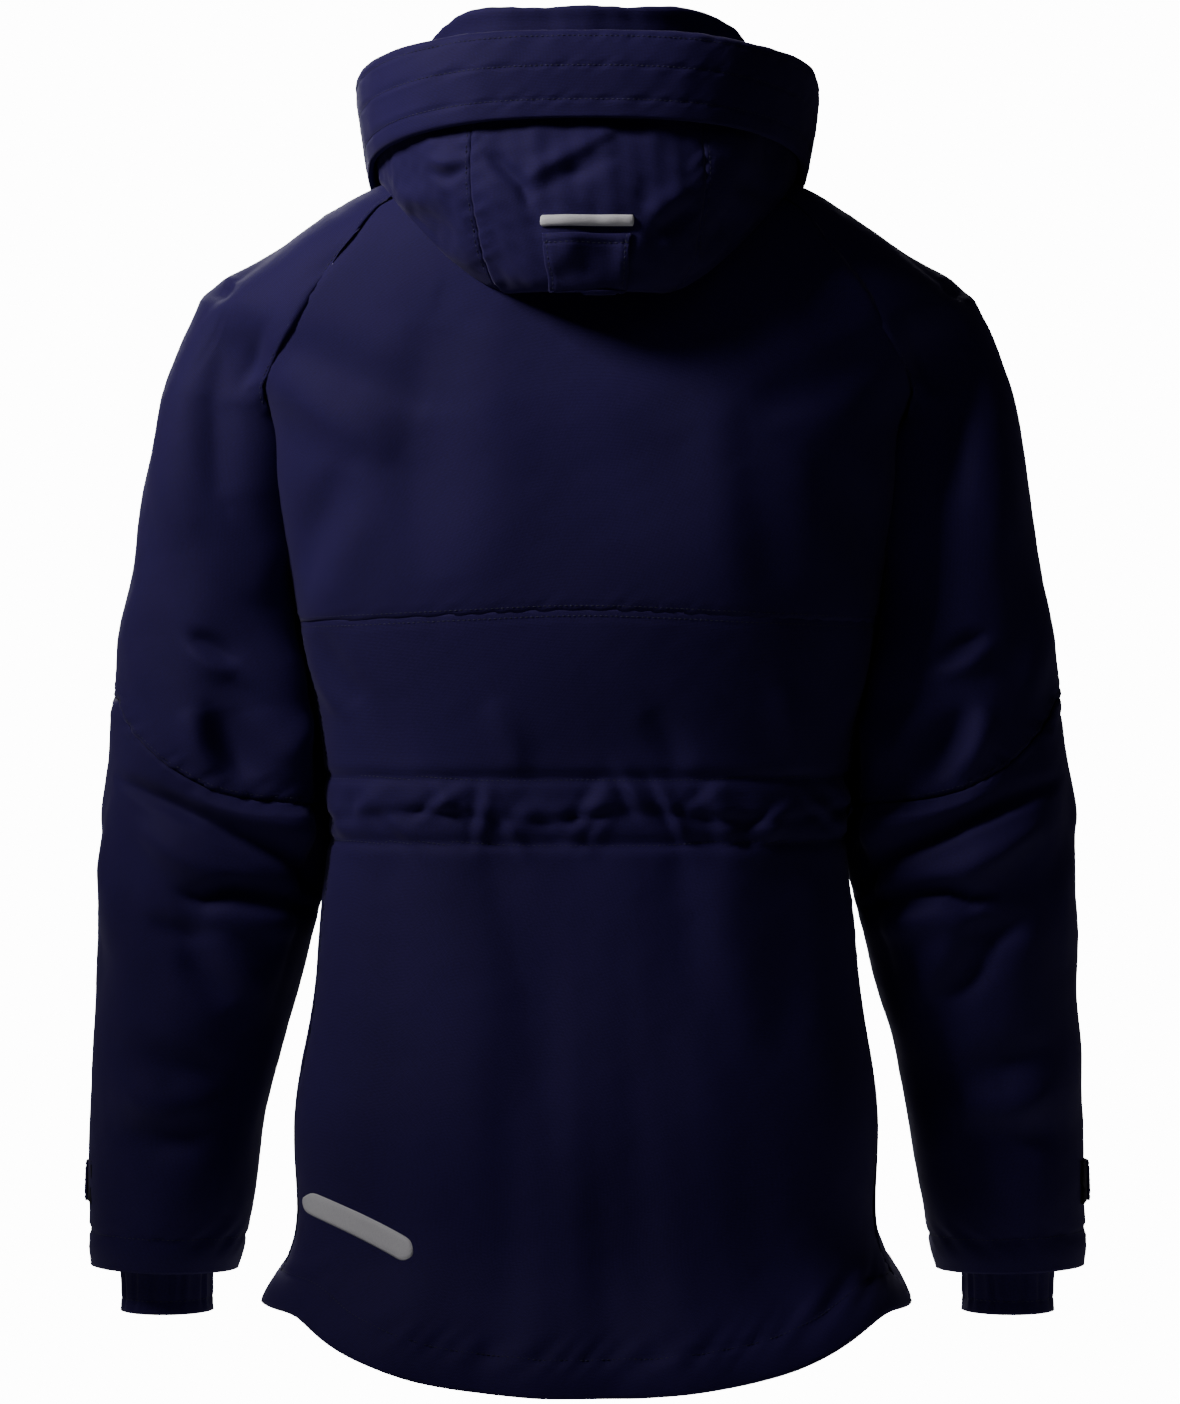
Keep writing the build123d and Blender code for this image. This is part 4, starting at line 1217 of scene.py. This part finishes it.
def build_brim():
    angles = np.linspace(-0.5, math.pi + 0.5, 220)
    wall = np.array([[brim_point(a, v) for a in angles] for v in np.linspace(0.03, 0.90, 34)])
    good = ~np.isnan(wall[..., 0]).all(0)
    angles, wall = angles[good], wall[:, good]
    count = len(angles)
    for j in range(count):
        fill_open(wall[:, j])
    wall = smooth_grid(wall, 1.0, 2.0)
    inward = np.stack([-np.cos(angles), -np.sin(angles), 0 * angles], -1)
    up = np.array([0, 0, 1.0])
    low, top = wall[0], wall[-1]
    radius = 0.0058
    roll = [top + up * radius * 1.1 * math.sin(t) + inward * radius * (1 - math.cos(t))
            for t in np.linspace(0.2, math.pi, 12)]
    drop = [top + inward * (2 * radius + 0.002 * k) - up * 0.004 * k for k in range(1, 9)]
    hem = [low + inward * 0.0022 * (1 - math.cos(t)) - up * 0.0016 * math.sin(t)
           for t in np.linspace(math.pi, 0.4, 5)]
    under = [low + inward * 0.0044 + up * 0.004 * k for k in range(4, 0, -1)]
    profile = np.concatenate([under, hem, wall, roll, drop])
    first = len(under) + len(hem)
    panel = Panel("hood_brim_cloth", profile, (first + 15, count // 2), BACK)
    row = np.arange(len(profile))[:, None]
    soft = np.clip((row - 2) / 8.0, 0, 1) * np.clip((len(profile) - row) / 8.0, 0, 1)
    panel.push((0.0009 * ripple(panel.p, 0.07, 0.16, 8, 91) + 0.0002 * ripple(panel.p, 0.015, 0.04, 8, 92)) * soft)
    run = panel.side("t") - panel.side("t")[first]
    panel.push(-0.003 * dent(panel.edge("lr"), 0, 0.006))
    inside = np.arange(2, count - 2)
    for distance in (0.010, 0.031, 0.050):
        off = np.abs(run - distance)
        panel.push(puckers(panel.p, off, 0.005, 0.00026, 0.011, 3) - 0.0006 * dent(off, 0, 0.0012))
        points = np.array([read_at(panel.p[:, j], run[:, j], distance) for j in inside])
        sew("torso", points, smooth_rows(panel.n[np.argmin(off, axis=0)[inside], inside], 1.0, False))
    panel.build(NAVY, "torso", "shell_cloth", "hood_brim")

    # the rest of the hood, folded down between the brim and the collar
    edge = panel.p[-3]
    columns = np.interp(angles, COLLAR_ANGLES, np.arange(len(COLLAR_ANGLES))).astype(int)
    base = np.array([along(COLLAR_WALL[:, k], 0.45) for k in columns]) - inward * 0.0015
    rows = 26
    t = np.linspace(0, 1, rows)[:, None]
    sag = np.sin(math.pi * t)
    grid = edge * (1 - t[..., None]) + base * t[..., None]
    grid[..., 2] -= 0.016 * sag * np.clip(np.linalg.norm(edge - base, axis=-1) / 0.04, 0, 1)
    tucked = Panel("hood_tucked_cloth", grid, (rows // 2, count // 2), (0, 0, 1), 0.9)
    s, lean = run_of(base), t * 0.03
    wave = np.sin(FULL * (s + lean) / 0.034) + 0.7 * np.sin(FULL * (s - lean) / 0.021 + 1.3)
    tucked.push(sag * (0.0028 * wave + 0.002 * ripple(tucked.p, 0.02, 0.05, 8, 95)))
    tucked.build(NAVY, "torso", "shell_cloth")


build_brim()


# ---------------------------------------------------------------- pieces laid on other pieces
def rectangle(xs, zs):
    """X and Z over a rectangle, rows by columns."""
    return np.stack(np.broadcast_arrays(xs[None, :], zs[:, None]), -1)


def lay(tree, xz, back, lift):
    """Points over a surface seen from the back or front, raised along its normals by lift metres."""
    toward = 1 if back else -1
    flat = xz.reshape(-1, 2)
    grid = np.zeros((len(flat), 3))
    nrm = np.tile((0.0, toward, 0.0), (len(flat), 1))
    found = []
    for k, (x, z) in enumerate(flat):
        hit = tree.ray_cast(Vector((x, toward * 0.5, z)), Vector((0, -toward, 0)), 0.7)
        if hit[0] is not None:
            found.append(k)
            grid[k] = hit[0]
            nrm[k] = hit[1] if hit[1].y * toward >= 0 else -hit[1]
    for k in np.setdiff1d(np.arange(len(flat)), found):
        grid[k] = grid[found[np.argmin(((flat[found] - flat[k]) ** 2).sum(1))]]
    grid, nrm = (v.reshape(xz.shape[:-1] + (3,)) for v in (grid, nrm))
    if xz.ndim == 3:
        grid, nrm = smooth_grid(grid, 1.2, 1.2), smooth_grid(nrm, 1.2, 1.2)
    nrm = unit(nrm)
    return grid + nrm * lift, nrm


def laid_panel(name, tree, xz, back, lift, thick, crown=0.0):
    """A panel laid on a surface with its edges turned down."""
    grid = lay(tree, xz, back, lift)[0]
    panel = Panel(name, grid, (len(grid) // 2, grid.shape[1] // 2), BACK if back else FRONT, thick)
    edge = panel.edge()
    panel.push(crown * (1 - dent(edge, 0, 0.0025)) - 0.0006 * dent(edge, 0, 0.0012))
    return panel


low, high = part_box("reflective_tail_strip")
length, width, turn = 0.078, 0.015, math.radians(21 if high[0] > 0 else -21)
u = np.linspace(-1, 1, 64)[:, None, None]
v = np.linspace(-1, 1, 15)[None, :, None]
end = np.clip((np.abs(u) * length / 2 - (length - width) / 2) / (width / 2), 0, 1)
side_way = v * np.sqrt(np.clip(1 - end ** 2, 0.02, 1)) * width / 2 + 0.0022 * (1 - u ** 2)
xz = (np.array([(low[0] + high[0]) / 2, (low[2] + high[2]) / 2])
      + u * length / 2 * (math.cos(turn), math.sin(turn)) + side_way * (-math.sin(turn), math.cos(turn)))
strip = laid_panel("tail_reflective_strip", tree_of(back_panel), xz, True, 0.0006, 0.5, 0.0005)
strip.build(TAPE_GREY, "torso", "reflective_tape", "reflective_tail_strip")

hood_tree = tree_of(HOOD_PANELS["hood_centre"])
low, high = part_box("hood_reflective_piping")
xz = rectangle(np.linspace(low[0], high[0], 60), np.linspace(high[2], low[2], 12))
piping = laid_panel("hood_reflective_trim", hood_tree, xz, True, 0.0008, 0.8)
piping.push(0.0022 * np.sqrt(1 - np.linspace(-1, 1, 12) ** 2)[:, None])
piping.build(TAPE_GREY, "torso", "reflective_piping", "hood_reflective_piping")

low, high = heights_of("hood_tab")
t = np.linspace(0, 1, 44)[:, None]
xz = np.stack(np.broadcast_arrays(np.linspace(-1, 1, 50) * (0.0275 - 0.0045 * t),
                                  high + (low + 0.0015 - high) * t), -1)
tab = laid_panel("hood_tab_cloth", hood_tree, xz, True, 0.0030, 1.8, 0.0004)
tab.push(0.0005 * ripple(tab.p, 0.015, 0.04, 6, 99))
stitch_lines(tab, "hood_tab", (0, 6.0), (1, 3.0), (1, 3.0, True), (0, 3.0, True))
tab.build(NAVY, "hood_tab", "shell_cloth", "hood_tab")


# ---------------------------------------------------------------- linings and inner trims
def open_front(x):
    """Angles round the body from one side of the zip to the other, from x metres beside it."""
    gap = math.asin(min(0.95, x / 0.122))
    return np.linspace(gap - math.pi / 2, 1.5 * math.pi - gap, 200)


def inner_skin(name, depth, angle, top, low, rows, material, slot, seed, node, thick=0.6, size=0.0008):
    """A layer inside the trunk at a depth below its outer surface, between two heights."""
    t = np.linspace(0, 1, rows)[:, None]
    z = top * (1 - t) + low * t + 0 * angle
    angle = angle + 0 * t
    outer = trunk.at(angle, z)
    d = unit(np.stack([0 * angle, 0 * angle + SIDE_Y, z], -1) - outer)
    waist = 0.0045 * dent(z, WAIST_MID, 0.034)
    shoulder = 0.045 * np.clip((z + 0.17) / 0.12, 0, 1) * np.abs(np.cos(angle)) ** 1.5
    at = (rows // 2, angle.shape[1] // 2)
    panel = Panel(name, outer + d * (depth + waist + shoulder)[..., None], at, d[at], thick)
    panel.push(size * ripple(panel.p, 0.04, 0.12, 8, seed, (1, 1, 0.5)))
    panel.build(material, "torso", slot, node)


LINING_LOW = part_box("body_lining")[0][2]
facing = open_front(0.045)
inner_skin("body_lining_cloth", 0.0098, open_front(0.030), -0.03, LINING_LOW, 120, MESH, "lining_cloth", 101,
           "body_lining")
inner_skin("hem_facing_cloth", 0.0052, facing, hem_of(facing) + 0.006, LINING_LOW + 0.03, 26, NAVY, "shell_cloth",
           102, "hem_facing", size=0.0003)
inner_skin("waist_elastic_band", 0.0056, np.linspace(0.12, math.pi - 0.12, 140), WAIST_TOP - 0.003,
           WAIST_LOW + 0.003, 16, ELASTIC, "elastic", 103, "waist_elastic", thick=1.0, size=0.0003)
inner_skin("waist_casing_cloth", 0.0076, np.linspace(0.1, math.pi - 0.1, 140), WAIST_TOP + 0.003,
           WAIST_LOW - 0.004, 20, MESH, "lining_cloth", 104, "waist_casing", size=0.0004)

# the zip's own plane: it leans with the front
slide = next(j for j in frame["joints"] if j["child"] == "zip_slider")
LEAN = slide["axis"][1] / slide["axis"][2]
NORM = math.hypot(1, LEAN)
low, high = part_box("zip_teeth_left")
ZIP_Y = (low[1] + high[1]) / 2 - LEAN * (low[2] + high[2]) / 2 - 0.003
ZIP_PITCH = 0.0026
TOOTH_MID = 0.0018
TOOTH = ((-0.0003, 0.0), (0.0010, -0.0007), (0.0034, -0.0006), (0.0042, -0.0008), (0.0042, 0.0008),
         (0.0034, 0.0006), (0.0010, 0.0007))


def zip_point(x, depth, h):
    """Metres across the zip, into the jacket and along the zip."""
    x, depth, h = np.broadcast_arrays(x, depth, h)
    return np.stack([x, ZIP_Y + (LEAN * h + depth) / NORM, (h - LEAN * depth) / NORM], -1)


def zip_strip(name, x, depth, h, rows, cols, thick, toward=BACK):
    """A strip along the zip between two places across, two depths and two heights."""
    s = np.linspace(0, 1, cols)
    grid = zip_point(x[0] + (x[1] - x[0]) * s, depth[0] + (depth[1] - depth[0]) * s,
                     np.linspace(h[0], h[1], rows)[:, None])
    return Panel(name, grid, (rows // 2, cols // 2), toward, thick)


def teeth(name, m, node):
    """Moulded teeth at the zip's pitch, one row."""
    low, high = heights_of(node)
    verts, faces = [], []
    for k in range(int((high - low) / ZIP_PITCH)):
        h = low + (k + (0.5 if m < 0 else 0.0)) * ZIP_PITCH + 0.0006
        if h <= high - 0.001:
            add_solid(verts, faces, [[zip_point(m * (TOOTH_MID + (x - TOOTH_MID) * grow), depth, h + up * grow)
                                      for x, up in TOOTH]
                                     for depth, grow in ((0.0015, 0.8), (0.0021, 1.0), (0.0039, 1.0), (0.0045, 0.8))])
    make_object(name, verts, faces, PLASTIC, "torso", [node], smooth=False)


for side, m in SIDES:
    low, high = heights_of("zip_tape_" + side)
    tape = zip_strip("zip_tape_cloth_" + side, (m * 0.0008, m * 0.0215), (0.0026, 0.0036),
                     (high - 0.001, low - 0.006), 150, 10, 0.7)
    curve = np.clip((np.abs(tape.p[..., :1]) - 0.008) / 0.014, 0, 1)
    tape.move(tape.p + curve * (0, 0.0012, 0))
    tape.build(ZIP_TAPE, "torso", "zip_tape", "zip_tape_" + side)
    teeth("zip_teeth_moulded_" + side, m, "zip_teeth_" + side)
    low, high = heights_of("front_facing_" + side)
    face = zip_strip("front_facing_cloth_" + side, (m * 0.010, m * 0.044), (0.0048, 0.0105),
                     (high, low - 0.006), 140, 14, 0.8, FRONT)
    face.push(0.0005 * ripple(face.p, 0.03, 0.09, 8, 110))
    face.build(NAVY, "torso", "shell_cloth", "front_facing_" + side)

# hanger loop: a flat webbing across the nape
(x0, y0, z0), (x1, y1, z1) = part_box("hanger_loop")
path = np.array([(x0 + 0.001, y1, 0), (x0 + 0.001, y0 + 0.010, 0), (x0 + 0.004, y0 + 0.003, 0),
                 (x0 + 0.012, y0 + 0.001, 0), (0, y0 + 0.0003, 0), (x1 - 0.012, y0 + 0.001, 0),
                 (x1 - 0.004, y0 + 0.003, 0), (x1 - 0.001, y0 + 0.010, 0), (x1 - 0.001, y1, 0)])
path = spread(smooth_open(path, 4.0), 70)
loop = Panel("hanger_loop_webbing", np.stack([path + (0, 0, z) for z in np.linspace(z0, z1, 7)]), (3, 35), FRONT, 1.3)
loop.build(WEBBING, "torso", "loop_webbing", "hanger_loop")


# ---------------------------------------------------------------- storm flap
(x0, _, z0), (x1, _, z1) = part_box("storm_flap")
FACE = -0.0075
flap = zip_strip("storm_flap_cloth", (x0, x1), (FACE + 0.0006,) * 2, (z1 - 0.002, z0 + 0.002), 260, 34, 3.0)
edge = flap.edge("tbl")
flap.push(0.0008 * ripple(flap.p, 0.03, 0.11, 9, 120) * np.clip((x1 - flap.p[..., 0]) / 0.02, 0, 1)
          - 0.0012 * dent(edge, 0, 0.0014) + puckers(flap.p, np.abs(edge - 0.006), 0.006, 0.0005, 0.010, 3))
stitch_lines(flap, "storm_flap", (1, 6.0), (0, 6.0), (0, 6.0, True), (1, 1.6))
flap.build(NAVY, "storm_flap", "shell_cloth", "storm_flap")

low, high = heights_of("storm_flap_root")
h = np.linspace(high - 0.001, low + 0.001, 220)
foot = lay(tree_of(fronts["left"]), np.stack([np.full(220, 0.0445), h], -1), False, 0.0002)[0]
lip = zip_point(0.0343, FACE + 0.0006, h)
shoulder = zip_point(0.0395, FACE + 0.0010, h)
bend = shoulder * 0.45 + foot * 0.55 + (0.0005, -0.0006, 0)
curves = np.stack([lip, (lip + shoulder) / 2, shoulder, bend, foot], 1)
section = np.array([spread(smooth_open(curve, 10.0), 20) for curve in curves])
root = Panel("storm_flap_seam_cloth", section, (110, 5), FRONT, 1.2)
stitch_along(root, "torso", 1, 5.0)
root.build(NAVY, "torso", "shell_cloth", "storm_flap_root")


# ---------------------------------------------------------------- lower pockets
for side, m in SIDES:
    node = "pocket_flap_" + side
    (x0, _, z0), (x1, _, z1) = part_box(node)
    xz = rectangle(np.linspace(x0 + 0.0012, x1 - 0.0012, 66), np.linspace(z1 - 0.0012, z0 + 0.0016, 40))
    panel = laid_panel(node + "_cloth", tree_of(node), xz, False, 0.0, 1.8)
    panel.push(0.0006 * ripple(panel.p, 0.02, 0.06, 8, 130))
    stitch_lines(panel, node, (1, 5.0), (1, 5.0, True), (0, 5.0, True), (0, 4.0))
    panel.build(NAVY, node, "shell_cloth", node)

    node = "pocket_bag_" + side
    (x0, _, z0), (x1, _, z1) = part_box(node)
    xz = rectangle(np.linspace(x0, x1, 40), np.linspace(z1, z0, 56))
    laid_panel(node + "_cloth", tree_of(node), xz, False, 0.0, 3.6).build(MESH, "torso", "lining_cloth", node)

    # two rows of stitches hold the bag to the front
    tree = tree_of(fronts[side])
    inset = 0.006
    for grow in (0.0, 0.0045):
        xa, xb, za, zb = x0 + 0.0008 + grow, x1 - 0.0008 - grow, z0 + grow, z1 - grow
        line = np.array([(xa, zb), (xa, za + inset), (xa + inset, za), (xb - inset, za), (xb, za + inset), (xb, zb)])
        sew("torso", *lay(tree, spread(line, 150), False, 0.0001))


# ---------------------------------------------------------------- cuffs
for part, name, body, start, stop, thick, material, slot in (
        ("cuff_patch_", "cuff_patch_hook_", "forearm_", -77, 40, 1.0, HOOK, "hook_tape"),
        ("cuff_tab_", "cuff_tab_cloth_", "cuff_tab_", -94, 7, 1.9, NAVY, "shell_cloth")):
    for side, m in SIDES:
        tree = tree_of(part + side)
        centre = (0.2747 * m, -0.0555, 0)
        low, high = heights_of(part + side)
        grid = np.full((20, 60, 3), np.nan)
        for i, z in enumerate(np.linspace(high - 0.0008, low + 0.0008, 20)):
            for j, a in enumerate(np.radians(np.linspace(start, stop, 60))):
                d = around(a, m)
                hit = tree.ray_cast(Vector((centre[0], centre[1], z)) + d * 0.12, -d, 0.12)[0]
                if hit is not None:
                    grid[i, j] = hit
            fill_open(grid[i])
        panel = Panel(name + side, grid, (10, 30), (grid[10, 30] - centre) * (1, 1, 0), thick)
        panel.push(-0.0006 * dent(panel.edge(), 0, 0.0012))
        if part == "cuff_tab_":
            stitch_lines(panel, body + side, (1, 3.0), (1, 3.0, True), (0, 3.0, True), (0, 3.0))
        else:
            panel.push(0.0003 * np.sin(FULL * panel.side("l") / 0.0024))
        panel.build(material, body + side, slot, part + side)

angles = np.linspace(0, FULL, 110, endpoint=False)
for side, m in SIDES:
    node = "storm_cuff_" + side
    tree = tree_of(node)
    low, high = heights_of(node)
    grid = np.full((44, len(angles), 3), np.nan)
    for i, z in enumerate(np.linspace(high - 0.006, low + 0.001, 44)):
        share = (high - z) / (high - low)
        centre = Vector(((0.272 + 0.007 * share) * m, -0.0535 - 0.0105 * share, z))
        for j, a in enumerate(angles):
            hit = tree.ray_cast(centre, around(a, m), 0.09)[0]
            if hit is not None:
                grid[i, j] = np.array(hit) + np.array(around(a, m)) * 0.002
        for k in range(3):
            fill_gaps(grid[i, :, k])
    panel = Panel("storm_cuff_cloth_" + side, grid, (20, 0), grid[20, 0] - grid[20].mean(0), 1.4, wrap=True)
    gathers = np.sin(angles * 19 + 1.5 * np.sin(angles * 3)) + 0.6 * np.sin(angles * 31 + 2)
    end = panel.side("b")
    panel.push(0.0007 * gathers * np.clip(end / 0.012, 0.15, 1) - 0.0006 * dent(end, 0.009, 0.0014))
    sew_ring(panel, "forearm_" + side, 0.009, -8)
    panel.build(NAVY, "forearm_" + side, "shell_cloth", node)

    grid = arm_grid(ELBOW_ROW + 1.0, float(np.argmin(np.abs(ARM_TABLE[:, 0, 2] + 0.642))), 70) * (m, 1, 1)
    lining = Panel("forearm_lining_cloth_" + side, grid, (30, 0), grid[30].mean(0) - grid[30, 0], 0.6, wrap=True)
    lining.push(0.0130 + 0.0006 * ripple(lining.p, 0.04, 0.1, 8, 140))
    lining.build(MESH, None, "lining_cloth", "forearm_lining_" + side)
    bend_at_elbow(lining)


# ---------------------------------------------------------------- CAD nodes that keep their shape
for material, names in ((METAL, ("hood_eyelets", "hem_eyelets", "flap_studs", "pocket_studs", "storm_flap_snaps",
                                 "pocket_flap_snaps_left", "pocket_flap_snaps_right", "zip_slider", "zip_pull")),
                        (PLASTIC, ("zip_box", "zip_top_stops"))):
    for name in names:
        nodes[name].data.materials.clear()
        nodes[name].data.materials.append(material)


for body, (verts, faces) in STITCHES.items():
    make_object("stitches_" + body, verts, faces, THREAD, body)
